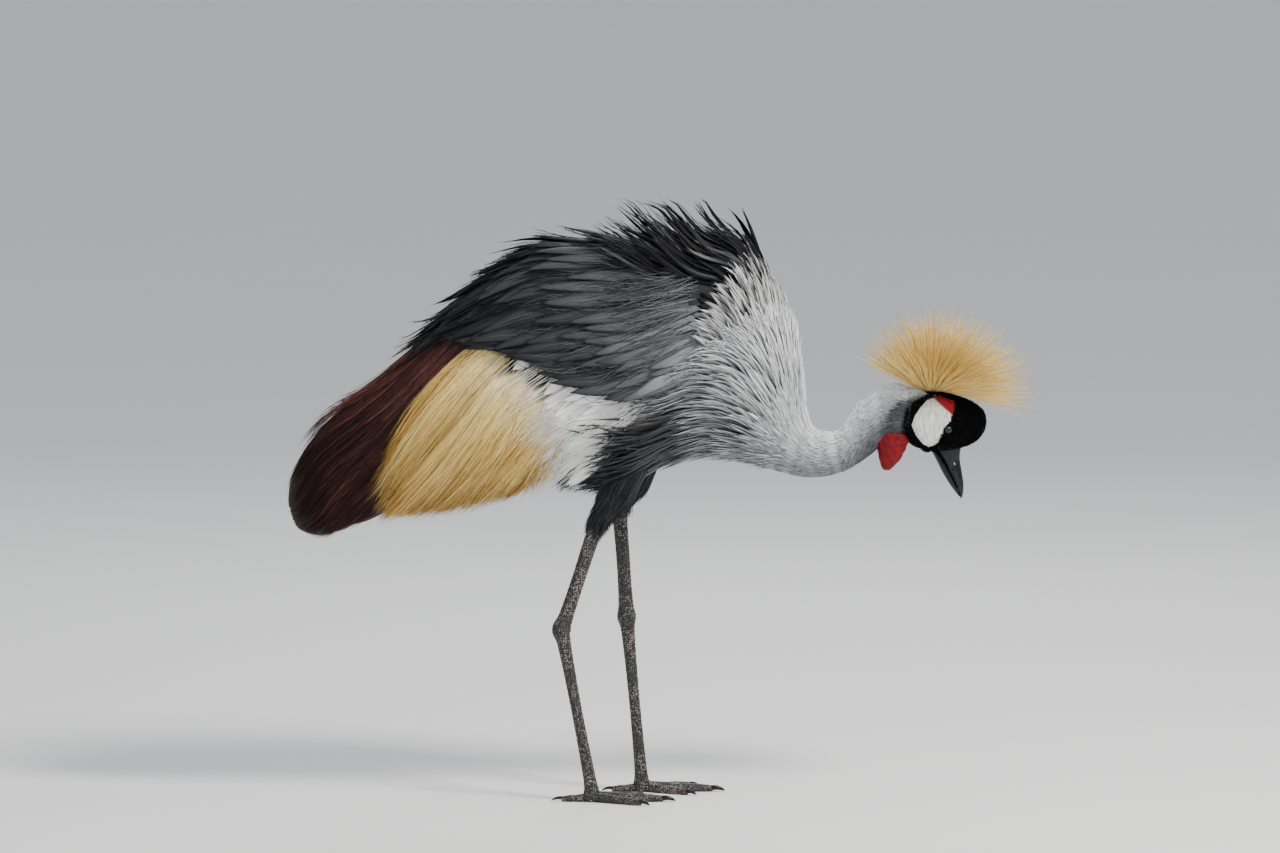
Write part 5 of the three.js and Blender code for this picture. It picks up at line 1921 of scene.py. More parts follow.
    def breast(self, half: Half, finish: Material) -> None:
        """Long pointed hackles over the breast, the flank and the wing's front edge.

        Args:
            half: The side.
            finish: The material.
        """
        body, draw, side = self.lofts.body, half.draw, half.side
        parts = []
        for area, length, width, high in ((50.0, 1.0, 7.2, 1.0), (36.0, 0.85, 3.2, 4.5)):
            t, phi = body.scatter(draw, (6.0, 15.6), (0, 180), area)
            count = len(t)
            clear = self.lofts.before_wing(body, t, phi, side)
            stop = curve(self.hackle_stop, phi) + draw.normal(0, 0.14, count)
            keep = ((clear > 3) | ((phi > 150) & (t < 14))) & (t < stop - 0.45)
            lengths = curve(self.hackle_length, t) * length * draw.uniform(0.8, 1.15, count)
            widths = width * draw.uniform(0.8, 1.25, count)
            bow = draw.normal(0, 1.5, count)
            lift = smooth(138, 168, phi) * smooth(10.4, 12.2, t) * draw.uniform(6, 38, count)
            lift = lift + 5 * smooth(60, 30, phi) * smooth(7, 7.8, t) * smooth(10, 9, t)
            row = chosen(Row(body, t, phi, lengths, widths, side, (-11, high), bow=bow, lift=lift), keep)
            end = np.minimum(body.after(row.t, row.phi, row.length * MM), stop[keep])
            past = -4 - 24 * draw.random(len(end))
            for _ in range(70):
                beyond = self.lofts.before_wing(body, end, row.phi, side) < past
                end = np.where(beyond & (end > row.t + 0.5) & (row.phi < 150), end - 0.06, end)
            row.end = end
            over = smooth(14, -8, self.lofts.before_wing(body, end, row.phi, side))
            row.lift = row.lift + over * smooth(160, 140, row.phi) * (7 + high)
            parts.append(row.strands(draw, HACKLE_CUT, self.breast_tone(draw, row)))
        nodes = ("breast",) if side > 0 else ()
        dress(coat_piece(f"breast_hackles_{half.name}", parts), finish, "pale_grey", *nodes)

    def breast_tone(self, draw: Draws, row: Row) -> Array:
        """How pale the breast's feathers are: painted highlight on top, painted shade on the flank and the
        belly.

        Args:
            draw: The random draws.
            row: The feathers.

        Returns:
            Numbers from -1 to 1.
        """
        x, z = self.face.plane(row.loft.point(row.t, row.phi, 0, row.side))
        # Darker behind, lower down and on the flank: painted shade.
        dark = smooth(235, 85, x) * smooth(585, 470, z)
        dark = np.maximum(dark, 0.95 * smooth(118, 160, row.phi) * smooth(7.5, 9.5, row.t))
        # Paler on top next to the neck: painted highlight.
        pale = smooth(70, 25, row.phi) * smooth(9.6, 8.0, row.t)
        pale = pale + 0.5 * smooth(110, 60, row.phi) * smooth(11, 9, row.t)
        return np.clip(dark - 0.8 * pale * (1 - dark) + draw.normal(0, 0.24, len(dark)), -1, 1)

    def belly(self, draw: Draws) -> None:
        """Dark soft feathers under the wings, round the belly and down the thighs.

        Args:
            draw: The random draws.
        """
        body = self.lofts.body
        parts = []
        for side in SIDES.values():
            t, phi = body.scatter(draw, (11.5, 17.6), (60, 180), 100)
            count = len(t)
            behind = self.lofts.before_wing(body, t, phi, side) < 20
            lengths, widths = draw.uniform(32, 52, count), draw.uniform(5, 8, count)
            row = chosen(Row(body, t, phi, lengths, widths, side, (-10, 0.5)), behind)
            parts.append(row.strands(draw, BELLY_CUT, 0.2 * draw.random(len(row.t))))
            for count, where, around, long, level, high, fade, turned, stop, dark in self.drapes:
                t, phi = draw.uniform(*where, count), draw.uniform(*around, count)
                row = Row(
                    body, t, phi, draw.uniform(*long, count), draw.uniform(4, 7.5, count), side, level,
                    lift=draw.uniform(*high, count) * smooth(*fade, phi), turn=draw.uniform(*turned, count),
                    bow=draw.normal(0, 2, count),
                )
                row.end = np.minimum(body.after(t, phi, row.length * MM), draw.uniform(*stop, count))
                parts.append(row.strands(draw, HACKLE_CUT, draw.uniform(0.1, dark, count)))
        for leg in self.legs:
            limb = leg.limb()
            t, phi = limb.scatter(draw, (0.02, 2.7), (0, 360), 8)
            count = len(t)
            length = curve(((0, 46), (1.5, 40), (2.4, 28), (2.7, 20)), t)
            row = Row(
                limb, t, phi, length * draw.uniform(0.8, 1.2, count), draw.uniform(1.4, 2.6, count),
                leg.plan.side, (-0.8, 4.5), lift=draw.uniform(0, 5, count) * smooth(2.4, 1.2, t),
            )
            row.end = np.minimum(limb.after(t, phi, length * MM), 3.3 - 0.45 * draw.random(count) ** 2)
            parts.append(row.strands(draw, THIGH_CUT, 0.8 * draw.random(count) ** 2))
        dress(coat_piece("belly_feathers", parts), INK.material(), "ink")

    def mantle(self, half: Half, grey: Material, black: Material) -> None:
        """Pointed grey feathers on the shoulders, and the plumes over them.

        Args:
            half: The side.
            grey: The feathers' material.
            black: The plumes' material.
        """
        body, draw, side = self.lofts.body, half.draw, half.side
        parts = []
        for area, wide, long, low, high, ground in (
            (110, (13, 18), (58, 84), -9.0, 0.5, True), (36, (5, 8.5), (42, 64), -8.0, 5.0, False),
        ):
            t, phi = body.scatter(draw, (8.0, 12.9), (0, 92), area)
            count = len(t)
            keep = self.lofts.before_wing(body, t, phi, side) > 4 - 10 * ground
            keep &= (t > curve(self.hackle_stop, phi) - 1.0) & (phi < curve(self.web_edge, t) + 26 * ground)
            row = chosen(Row(
                body, t, phi, draw.uniform(*long, count), draw.uniform(*wide, count), side, (low, high),
                lift=draw.uniform(4, 14, count) * (0.15 if ground else smooth(8.4, 10.2, t)),
                bow=draw.normal(3.0, 0.8, count), turn=draw.normal(-4, 1.2, count),
            ), keep)
            reach = 13.6 if ground else curve(self.web_end, row.phi)
            row.end = np.minimum(body.after(row.t, row.phi, row.length * MM), reach)
            tone = 0.8 * smooth(38, 8, row.phi) * smooth(8.8, 10.0, row.t) + 0.8 * smooth(11.8, 13.0, row.t)
            tone = tone + draw.normal(-0.15, 0.45, len(tone)) - 0.5 * smooth(9.4, 8.4, row.t)
            # The ground webs take the black toned colour: painted shade in the hollow under the raised webs.
            parts.append(row.strands(draw, WEB_CUT, np.clip(tone + 1.5 * ground, -1, 1)))
        nodes = ("mantle",) if side > 0 else ()
        dress(coat_piece(f"mantle_webs_{half.name}", parts), grey, "ink", *nodes)
        plumes = self.plumes(half)
        frays = self.frays(draw, plumes, 9, 15.0, 0.4, lean=0.25)
        dress(coat_piece(f"raised_plumes_{half.name}", [plumes, frays]), black, "ink")

    def plumes(self, half: Half) -> Strands:
        """Long black plumes in locks, raised over the back.

        Args:
            half: The side.

        Returns:
            The plumes.
        """
        body, draw = self.lofts.body, half.draw
        lock_t, lock_phi = body.scatter(draw, (8.9, 12.0), (0, 41), 540)
        locks = np.repeat(np.arange(len(lock_t)), 7)
        count = len(locks)
        t = lock_t[locks] + draw.normal(0, 0.16, count)
        phi = np.abs(lock_phi[locks] + draw.normal(0, 3.5, count))
        lengths = draw.uniform(0.76, 1.06, len(lock_t))[locks] + draw.normal(0, 0.06, count)
        high = curve(self.plume_height, t) * smooth(84, 8, phi)
        row = Row(
            body, t, phi, curve(self.plume_length, t) * lengths, draw.uniform(9, 16, count), half.side,
            (-10, 2),
            lift=high * (draw.uniform(0.45, 1.05, len(lock_t))[locks] + draw.normal(0, 0.05, count)),
            bow=draw.normal(0, 1, count), turn=(lock_phi * draw.uniform(0.3, 1.0, len(lock_t)))[locks] - phi,
        )
        row.end = np.minimum(body.after(t, phi, row.length * MM), 14.0)
        tone = 0.4 * (draw.random(count) < 0.08) + 0.15 * draw.random(count) ** 3
        plumes = row.strands(draw, PLUME_CUT, np.clip(tone, 0, 1))
        ceiling, spare, soft = self.plume_ceiling
        above = np.maximum(plumes.points[..., 2] - ceiling, 0)
        plumes.points[..., 2] -= above - spare * np.tanh(above / soft)
        return plumes

    def frays(
        self, draw: Draws, vanes: Strands, each: int, length: float, start: float,
        width: float = 0.7, lean: float = 0.35,
    ) -> Strands:
        """Loose barbs that leave the edges of vanes near their tips.

        Args:
            draw: The random draws.
            vanes: The vanes that they leave.
            each: How many each vane has.
            length: Their length in millimetres.
            start: Share of the vane's length where they begin.
            width: Their width in millimetres.
            lean: How far they lean out, as a share of their length.

        Returns:
            The barbs as strands.
        """
        vane_count, stations, _ = vanes.points.shape
        owner = np.repeat(np.arange(vane_count), each)
        count = len(owner)
        share = draw.uniform(start, 0.97, count)
        place = share * (stations - 1)
        low = np.clip(np.floor(place).astype(int), 0, stations - 2)
        part = (place - low)[:, None]
        base = vanes.points[owner, low] * (1 - part) + vanes.points[owner, low + 1] * part
        along = unit(vanes.points[owner, low + 1] - vanes.points[owner, low])
        out = vanes.out[owner, low]
        across = unit(np.cross(along, out)) * np.where(draw.random(count) < 0.5, -1, 1)[:, None]
        run = np.linspace(0, 1, FRAY_CUT.stations)[None, :, None]
        reach = (length * MM * draw.uniform(0.6, 1.2, count))[:, None, None]
        spread = lean * draw.uniform(0.5, 1.4, count)[:, None, None]
        way = along[:, None, :] + across[:, None, :] * spread * (1.3 - 0.6 * run)
        points = base[:, None, :] + reach * run * way
        points = points + draw.normal(0, 0.8 * MM, (count, 1, 3)) * run * run
        tone = vanes.tone if vanes.tone.ndim == 1 else vanes.tone[:, -1]
        return Strands(
            points, out[:, None, :].repeat(FRAY_CUT.stations, 1), width * MM * draw.uniform(0.7, 1.3, count),
            FRAY_CUT, vanes.root[owner], draw.random(count), tone[owner],
        )

    def scapulars(self, half: Half, finish: Material) -> None:
        """Long slate leaves of the shoulder and coverts, silvery in front and black behind.

        Args:
            half: The side.
            finish: The material.
        """
        cape, draw, count = self.lofts.cape, half.draw, 52
        t, phi = cape.scatter(draw, (0.1, 4.5), (2, 106), 260)
        inside = (t > 0.9) | (phi > 68)
        t, phi = t[inside], phi[inside]
        upper = laid(draw, self.slate_rows, (0.16, 2.6))
        parts = [self.leaves(half, np.stack([t, phi, 0 * t + 90, 0 * t + 24]), UNDER_LEAF_CUT)[0]]
        leaves, back = self.leaves(half, upper, LEAF_CUT)
        rear = chosen(leaves, np.flatnonzero(back > 0.4))
        parts += [leaves, self.frays(draw, rear, 26, 18.0, 0.5, 0.8, 0.5), *self.web_hairs(half)]
        ridge = Row(
            cape, draw.uniform(1.4, 5.3, count), draw.uniform(1, 17, count), draw.uniform(80, 140, count),
            draw.uniform(7, 13, count), half.side, (-8, 3), lift=draw.uniform(0, 22, count),
            bow=draw.normal(0, 2, count), turn=draw.normal(0, 3, count),
        ).strands(draw, RIDGE_CUT, draw.uniform(0.8, 1, count))
        parts += [ridge, self.frays(draw, ridge, 16, 15.0, 0.45, 0.7, 0.4)]
        dress(coat_piece(f"scapulars_{half.name}", parts), finish, "slate", f"wing_{half.name}")

    def leaves(self, half: Half, plan: Array, cut: Cut) -> tuple[Strands, Array]:
        """The upper leaves, or the ones under them.

        Args:
            half: The side.
            plan: Arrays of t, phi, length and width.
            cut: Their shape, which says which ones they are.

        Returns:
            The leaves, and how far each lies at the back.
        """
        cape, draw = self.lofts.cape, half.draw
        t, phi, length, width = plan
        ground = cut is UNDER_LEAF_CUT
        phi = np.minimum(phi, curve(self.slate_edge, t) - (18 if ground else 9))
        clear = self.lofts.before_wing(cape, t, phi, half.side)
        count = len(t)
        end = cape.after(t, phi, length * MM)
        turn = curve(self.slate_turn, t) * (0.3 + 0.7 * phi / 80)
        turn = np.minimum(turn, curve(self.slate_edge, end) - phi - (14 if ground else 2))
        row = chosen(Row(
            cape, t, phi, length, width, half.side, (-15, -6) if ground else (-7.5, 3.0), turn=turn,
            end=end, bow=draw.uniform(-1, 4, count), lift=draw.uniform(0, 4, count) * (not ground),
        ), clear < 16)
        share = np.linspace(0, 1, cut.stations)[None, :]
        each = (len(row.t), 1)
        back = self.rear(row)
        tone = back[:, None] * smooth(0.2, 0.9, share) * draw.uniform(0.6, 1.3, each)
        hem = curve(self.slate_edge, row.end) - row.phi - row.turn
        hem = smooth(40, 8, hem) * smooth(0.5, 1.5, row.t)
        tone = tone + 0.55 * hem[:, None] * smooth(0.05, 0.5, share)
        front = smooth(1.5, 0.1, row.t)[:, None] * draw.uniform(0.4, 1.0, each) * smooth(1.2, 0.2, share)
        # The leaves underneath are darkened: painted shade under the upper leaves.
        tone = np.clip(tone + 0.75 * ground - front * (1.1 - 0.5 * ground), -1, 1)
        return row.strands(draw, cut, tone), back

    @staticmethod
    def rear(row: Row) -> Array:
        """How far feathers of the shoulder lie at the back or along the top."""
        back = smooth(2.4, 4.0, row.t) * smooth(84, 30, row.phi)
        return back + 0.9 * smooth(26, 8, row.phi) * smooth(1.2, 2.6, row.t)

    def web_hairs(self, half: Half) -> list[Strands]:
        """Fine hair that softens the slate leaves, and a few pale ones over the shoulder.

        Args:
            half: The side.

        Returns:
            The two kinds as strands.
        """
        cape, draw, side = self.lofts.cape, half.draw, half.side
        parts = []
        for area, long, wide, pale in ((34, (40, 84), (0.5, 1.1), False), (75, (30, 66), (0.3, 0.6), True)):
            t, phi = cape.scatter(draw, (0.1, 4.4), (5, 100), area)
            count = len(t)
            clear = self.lofts.before_wing(cape, t, phi, side)
            end = cape.after(t, phi, draw.uniform(*long, count) * MM)
            turn = curve(self.slate_turn, t) * (0.2 + 0.5 * phi / 80)
            turn = turn + draw.normal(3 if pale else 0, 4, count)
            room = curve(self.slate_edge, end) - phi - 3
            share = curve(((0, 0.9), (1.0, 0.5), (1.9, 0.08), (3.6, 0.0)), t) if pale else 1.0
            keep = (draw.random(count) < share) & (clear < 10) & ((t > 0.9) | (phi > 68))
            keep &= phi < curve(self.slate_edge, t) - 8
            row = chosen(Row(
                cape, t, phi, 0.0, draw.uniform(*wide, count), side, (-2.5, 3.6 if pale else 3.0),
                turn=np.minimum(turn, room), bow=draw.normal(1, 2, count), end=end,
            ), keep)
            back = self.rear(row)
            tone = 0.9 * back - 0.8 * smooth(1.6, 0.2, row.t) + draw.normal(0, 0.22, len(back))
            tone = np.full(len(back), -0.7) if pale else np.clip(tone, -1, 1)
            parts.append(row.strands(draw, LEAF_HAIR_CUT, tone))
        return parts

    def listed(
        self, half: Half, plan: Sequence[Sequence[float]], places: Array, width: Array,
        level: Range, stray: Range = (0.0, 0.0), **more: object,
    ) -> Row:
        """Feathers between the ones of a plan.

        Args:
            half: The side.
            plan: Root t, root phi, tip t and tip phi of the leading feathers.
            places: Where each feather comes in the plan, from 0 to 1.
            width: Each one's width.
            level: Millimetres above the cape at root and tip.
            stray: How far the tip's t and phi stray.
            more: Other fields of the row.

        Returns:
            The row.
        """
        rows = np.array(plan, float)
        t, phi, end, tip = between(rows, np.clip(places, 0, 1) * (len(rows) - 1)).T
        end = end + half.draw.normal(0, 1, len(places)) * stray[0]
        turn = tip - phi + half.draw.normal(0, 1, len(places)) * stray[1]
        end = np.clip(end, 0, self.lofts.cape.last - 0.05)
        return Row(self.lofts.cape, t, phi, 0.0, width, half.side, level, turn=turn, end=end, **more)

    def coverts(self, half: Half, finish: Material) -> None:
        """The silky white panel of the wing.

        Args:
            half: The side.
            finish: The material.
        """
        cape, draw = self.lofts.cape, half.draw
        parts = []
        for area, long, wide, level, cut in (
            (120, (96, 140), (20, 27), (-14.0, -6.4), WHITE_CUT),
            (12, (44, 110), (0.8, 1.6), (-9.8, -4.6), WHITE_HAIR_CUT),
        ):
            vanes = cut is WHITE_CUT
            t, phi = cape.scatter(draw, (0.5, 4.3), (60, 121), area)
            count = len(t)
            keep = (self.lofts.before_wing(cape, t, phi, half.side) < 3) & (phi < 118)
            keep &= phi > curve(self.slate_edge, t) - (16 if vanes else 9)
            turn = curve(((60, 8), (84, 12), (98, 17), (118, 29)), phi) + draw.normal(0, 1.5, count)
            end = cape.after(t, phi, draw.uniform(*long, count) * MM)
            stop = draw.normal(-0.45, 0.12, count) if vanes else draw.normal(0.02, 0.22, count)
            end = np.minimum(end, curve(self.white_end, phi + turn) + stop)
            widths = draw.uniform(*wide, count)
            row = Row(cape, t, phi, 0.0, widths, half.side, level, turn=turn, end=end)
            row = chosen(row, keep & (end > t + 0.55))
            tone = np.clip(smooth(3.0, 4.2, row.end) * draw.random(len(row.t)), 0, 1)
            parts.append(row.strands(draw, cut, tone))
        dress(coat_piece(f"white_web_{half.name}", parts), finish, "white", f"white_coverts_{half.name}")

    def golden(self, half: Half, finish: Material) -> None:
        """Hair-like straw plumes that hang over the hind edge of the wing.

        Args:
            half: The side.
            finish: The material.
        """
        draw = half.draw
        vanes, count, lock_count = 46, 2200, 90
        places = np.linspace(0, 1, vanes)
        base = self.listed(
            half, self.gold_plumes, places, draw.uniform(8, 12, vanes), (-10, -6), (0.1, 2),
            bow=draw.normal(0, 2, vanes) - 9 * smooth(0.3, 0.0, places),
        )
        locks = draw.integers(0, lock_count, count)
        lock_place, lock_bow = draw.random(lock_count), draw.normal(1.5, 3.2, lock_count)
        lock_end = draw.normal(0, 1, lock_count)[locks]
        lock_bow = lock_bow - 5 * draw.random(lock_count) * smooth(0.22, 0.02, lock_place)
        lock_tone = draw.normal(0, 0.4, lock_count)
        shorter = np.where(np.arange(vanes) < 7, draw.uniform(0.5, 0.8, vanes), 1.0)
        base.end = base.t + (base.end - base.t) * shorter
        base.turn = base.turn * shorter
        hairs = self.listed(
            half, self.gold_plumes, lock_place[locks] + draw.normal(0, 0.02, count),
            draw.uniform(0.6, 1.3, count), (-8.5, -3.4), (0.08, 1.2),
            bow=(lock_bow - 9 * smooth(0.3, 0.0, lock_place))[locks] + draw.normal(0, 0.9, count),
            lift=draw.normal(0, 1.6, lock_count)[locks],
        )
        share = np.where(draw.random(count) < 0.16, draw.uniform(0.4, 0.95, count), 1.0)
        hairs.t = hairs.t - draw.uniform(0, 0.5, count)
        hairs.end = hairs.t + (hairs.end + 0.28 * lock_end - hairs.t) * share
        stray = 16 * draw.random(count) ** 3 * smooth(0.22, 0.0, lock_place[locks])
        hairs.turn = (hairs.turn + 3.0 * lock_end - stray) * share
        # Tone by strand and lock: dark brown painted shade on some locks and on strongly bowed ones, cream
        # painted highlight on others, varying at random.
        tone = draw.normal(0.1, 0.45, count) + lock_tone[locks] - 0.7 * (lock_bow[locks] > 3.0)
        piece = coat_piece(f"golden_plumes_{half.name}", [
            base.strands(draw, GOLD_CUT, draw.uniform(-0.3, 0.5, vanes)),
            hairs.strands(draw, GOLD_HAIR_CUT, np.clip(tone, -1, 1)),
        ])
        dress(piece, finish, "gold", f"gold_plumes_{half.name}")

    def hind_wing(self, half: Half, ink: Material, chestnut: Material) -> None:
        """Black tertials, drooping chestnut secondaries and the primaries under them.

        Args:
            half: The side.
            ink: The black feathers' material.
            chestnut: The secondaries' material.
        """
        draw, count = half.draw, 19
        row = self.listed(
            half, self.tertials, np.linspace(-0.12, 1, count), draw.uniform(14, 20, count), (-10, -0.5),
            (0.3, 2), lift=draw.uniform(-1, 5, count),
        )
        row.end = np.minimum(row.end, draw.uniform(6.0, 6.7, count))
        row.phi = row.phi * np.linspace(0.1, 1, count)
        vanes = row.strands(draw, TERTIAL_CUT, draw.uniform(0, 0.25, count))
        parts = [vanes, self.frays(draw, vanes, 44, 20.0, 0.3, 0.9, 0.4)]
        dress(coat_piece(f"tertial_vanes_{half.name}", parts), ink, "ink", f"tertials_{half.name}")
        piece = coat_piece(f"secondary_vanes_{half.name}", self.drooping(half))
        dress(piece, chestnut, "chestnut", f"secondaries_{half.name}")
        count = 8
        row = self.listed(
            half, self.primaries, np.linspace(0, 1, count), draw.uniform(20, 26, count), (-20, -17),
        )
        piece = coat_piece(f"primary_vanes_{half.name}", [row.strands(draw, PRIMARY_CUT, 0.2)])
        dress(piece, ink, "ink", f"primaries_{half.name}")

    def drooping(self, half: Half) -> list[Strands]:
        """The secondaries: vanes, locks of hair over them and wisps on top.

        Args:
            half: The side.

        Returns:
            The three as strands.
        """
        draw = half.draw
        vanes, count, lock_count, wisps = 22, 1900, 110, 34
        row = self.listed(
            half, self.secondaries, np.linspace(0, 1, vanes), draw.uniform(26, 34, vanes), (-16, -8),
            (0.12, 2),
        )
        parts = [row.strands(draw, SECONDARY_CUT, draw.uniform(-0.2, 0.1, vanes))]
        locks = draw.integers(0, lock_count, count)
        lock_bow, lock_end = draw.normal(3, 4.5, lock_count)[locks], draw.normal(0, 1, lock_count)[locks]
        lock_place = (draw.random(lock_count) ** 0.9)[locks]
        hairs = self.listed(
            half, self.secondaries, lock_place + draw.normal(0, 0.015, count), draw.uniform(0.9, 2.1, count),
            (-12, -4.6), (0.1, 1.5), bow=lock_bow + draw.normal(0, 1, count), lift=draw.uniform(0, 2, count),
        )
        shorter = draw.uniform(0.35, 1.0, count)
        hairs.end = np.clip(hairs.t + (hairs.end + 0.3 * lock_end - hairs.t) * shorter, 0, 11.95)
        hairs.turn = (hairs.turn + 3 * lock_end) * shorter
        # Tone by strand and lock at random; toned brings the painted highlight colour, and strands that reach
        # far back turn darker.
        tone = draw.normal(0.1, 0.3, count) + draw.normal(0, 0.4, lock_count)[locks]
        tone = np.clip(tone - 0.8 * smooth(9.5, 11.8, hairs.end), -1, 1)
        parts.append(hairs.strands(draw, SECONDARY_HAIR_CUT, tone))
        # The wisps on top lean to the toned colour: painted highlight.
        row = Row(
            self.lofts.cape, draw.uniform(5.8, 7.4, wisps), draw.uniform(0, 14, wisps), 0.0,
            draw.uniform(0.8, 1.6, wisps), half.side, (-4, 2), lift=draw.uniform(2, 15, wisps),
            end=draw.uniform(8.4, 10.6, wisps),
        )
        parts.append(row.strands(draw, WISP_CUT, draw.uniform(0.2, 0.9, wisps)))
        return parts

    def tail(self, draw: Draws) -> None:
        """The short black tail hidden by the drooping secondaries.

        Args:
            draw: The random draws.
        """
        x, z = -236 + self.face.shift / MM, 496
        count, stations = 10, TAIL_CUT.stations
        aside = np.linspace(-1, 1, count)
        yaw = np.radians(aside * 7)
        pitch = np.radians(50 + 3 * np.abs(aside))
        along = np.stack([-np.cos(pitch) * np.cos(yaw), np.sin(yaw), -np.sin(pitch) * np.cos(yaw)], -1)
        out = unit(np.stack([-np.sin(pitch), 0.3 * aside, np.cos(pitch)], -1))
        share = np.linspace(0, 1, stations)[None, :, None]
        root = np.stack([np.full(count, x + 14), aside * 12, z + 12 - 3 * np.abs(aside)], -1) * MM
        length = ((134 - 8 * np.abs(aside)) * MM)[:, None, None]
        points = root[:, None] + along[:, None] * share * length - out[:, None] * (share ** 2) * 6 * MM
        vanes = Strands(
            points, out[:, None].repeat(stations, 1), np.full(count, 24 * MM), TAIL_CUT,
            np.stack([aside / 2 + 0.5, np.full(count, 0.5)], -1), draw.random(count), np.full(count, 0.1),
        )
        dress(coat_piece("tail_vanes", [vanes]), INK.material(), "ink", "tail")

    def plush(self, draw: Draws) -> None:
        """Short black velvet of the forehead, crown, nape and chin, clear of the bare patches.

        Args:
            draw: The random draws.
        """
        skull, body = self.lofts.skull, self.lofts.body
        parts = []
        for side in SIDES.values():
            for loft, span, area in ((skull, (0.0, 5.75), 1.4), (body, (0.02, 1.0), 2.4)):
                t, phi = loft.scatter(draw, span, (0, 180), area)
                count = len(t)
                roots = loft.point(t, phi, 0, side)
                facing = np.abs(np.sin(np.radians(phi))) > 0.3
                lids = (self.face.lid_distance(roots) < 1.15) & facing
                black = self.face.black(roots)
                keep = (self.face.bare(roots) < 0.3) & ~lids & ~self.face.seam(roots)
                keep &= draw.random(count) < black
                if loft is skull:
                    length = curve(((0, 5), (1.5, 5), (3, 5), (4.6, 4.4), (5.75, 2.4)), t)
                    sign, level = -1.0, curve(((0, 1.0), (2.4, 1.0), (3.2, 1.4), (5.2, 1.2), (5.75, 0.2)), t)
                else:
                    length, sign, level = np.full(count, 4.5), 1.0, np.full(count, 0.9)
                deep = 0.3 + 0.7 * smooth(0.55, 1.0, black)
                length, level = length * deep, level * deep
                end = loft.after(t, phi, sign * 0.6 * length * MM)
                row = Row(loft, t, phi, 0.0, draw.uniform(0.9, 1.4, count) * deep, side, (-2.4, 0.4), end=end)
                strands = chosen(row, keep).strands(draw, VELVET_CUT)
                share = np.linspace(0, 1, VELVET_CUT.stations)[None, :, None]
                rise = share * ((level + deep)[keep][:, None, None] * 0.9 * MM)
                strands.points = strands.points + strands.out * rise
                parts.append(strands)
        dress(coat_piece("head_velvet", parts), VELVET.material(), "velvet")


@dataclass
class Crest:
    """The fan of stiff golden bristles on the crown. Angles are in degrees."""

    shift: float
    centre: tuple[float, float] = (376, 492)
    pad: tuple[float, float, float] = (12, 10, 5)
    count: int = 1450
    lean: float = 70
    fore: float = 84
    aside: float = 66
    # Length in millimetres by pitch.
    reach: Curve = ((-16, 124), (76, 106), (160, 98))
    # The angle between one root and the next, in radians, which spreads them evenly.
    golden_angle: float = 2.39996

    def build(self) -> Piece:
        """Every bristle from the pad to its tip, some of them bent.

        Returns:
            The piece.
        """
        draw = np.random.default_rng(131)
        number = np.arange(self.count)
        spread = np.sqrt((number + 0.5) / self.count)
        around = self.golden_angle * number
        ahead, sideways = spread * np.cos(around), spread * np.sin(around)
        pitch = np.radians(self.lean - ahead * self.fore + draw.normal(0, 4, self.count))
        yaw = np.radians(sideways * self.aside + draw.normal(0, 4, self.count))
        aim = np.stack([np.cos(pitch) * np.cos(yaw), np.sin(yaw), np.sin(pitch) * np.cos(yaw)], -1)
        length = curve(self.reach, np.degrees(pitch)) * draw.uniform(0.72, 1.04, self.count)
        length = (length * (1 - 0.12 * np.abs(sideways)))[:, None, None]
        x, z = self.centre
        root = [x + ahead * self.pad[0], sideways * self.pad[1], z + 2 - 3 * spread ** 2]
        root = np.stack(root, -1) * MM
        root[:, 0] += self.shift
        stations = CREST_CUT.stations
        share = np.linspace(0, 1, stations)[None, :, None]
        bend = draw.normal(0, 3.4, (self.count, 3))[:, None, :] * MM
        wave = np.sin(share * 9 + draw.uniform(0, 6.28, (self.count, 1, 1))) * 0.7 * MM
        side = unit(np.cross(aim, [0.2, 1.0, 0.3]))[:, None, :]
        points = root[:, None] + aim[:, None] * share * length * MM + bend * share ** 2 + side * wave * share
        out = unit(np.cross(side, aim[:, None, :])).repeat(stations, 1)
        strands = Strands(
            points, out, draw.uniform(0.75, 1.25, self.count) * MM, CREST_CUT,
            np.stack([ahead / 2 + 0.5, sideways / 2 + 0.5], -1), draw.random(self.count),
            np.clip(draw.normal(0.2, 0.3, self.count), 0, 1),
        )
        return coat_piece("crest_bristles", [strands])

    def cushion(self) -> Piece:
        """The low pad that the bristles grow from.

        Returns:
            The piece.
        """
        x, z = self.centre
        points = ball(24, 40) * np.array([self.pad[0] + 1.5, self.pad[1] + 1.5, self.pad[2]])
        points = points + np.array([x, 0, z - 1.5])
        return tube_object("crest_pad", points * MM + np.array([self.shift, 0, 0]))

    def material(self) -> Material:
        """Straw yellow with a twist of dark and light turns, darker at the tips, and dark at the roots as
        painted shade.

        Returns:
            The material.
        """
        g = Graph("crest_bristle")
        run, tint, tone, reach = (g.attribute(name) for name in ("run", "tint", "tone", "reach"))
        # Dark brown at the roots: painted shade in the core of the fan.
        colour = g.ramp(run, (
            (0.0, (0.3, 0.17, 0.06)), (0.25, (0.88, 0.6, 0.15)), (0.75, (0.95, 0.7, 0.19)),
            (1.0, (0.66, 0.38, 0.06)),
        ))
        colour = g.mix(tone, colour, (0.92, 0.74, 0.34))
        colour = g.mix(g.rise(tint, 0.45, 0.0, (0.0, 0.6)), colour, (0.42, 0.2, 0.04))
        along = g.math("MULTIPLY", reach, 2300.0)
        turns = g.math("SINE", g.math("ADD", along, g.math("MULTIPLY", tint, 6.0)))
        dark = g.math("MULTIPLY", g.rise(turns, 0.2, 0.9), g.rise(run, 0.15, 0.6, (0.15, 0.5)))
        colour = g.mix(dark, colour, (0.22, 0.11, 0.03))
        return g.surface(Base_Color=colour, Roughness=0.5, Specular_IOR_Level=0.3)


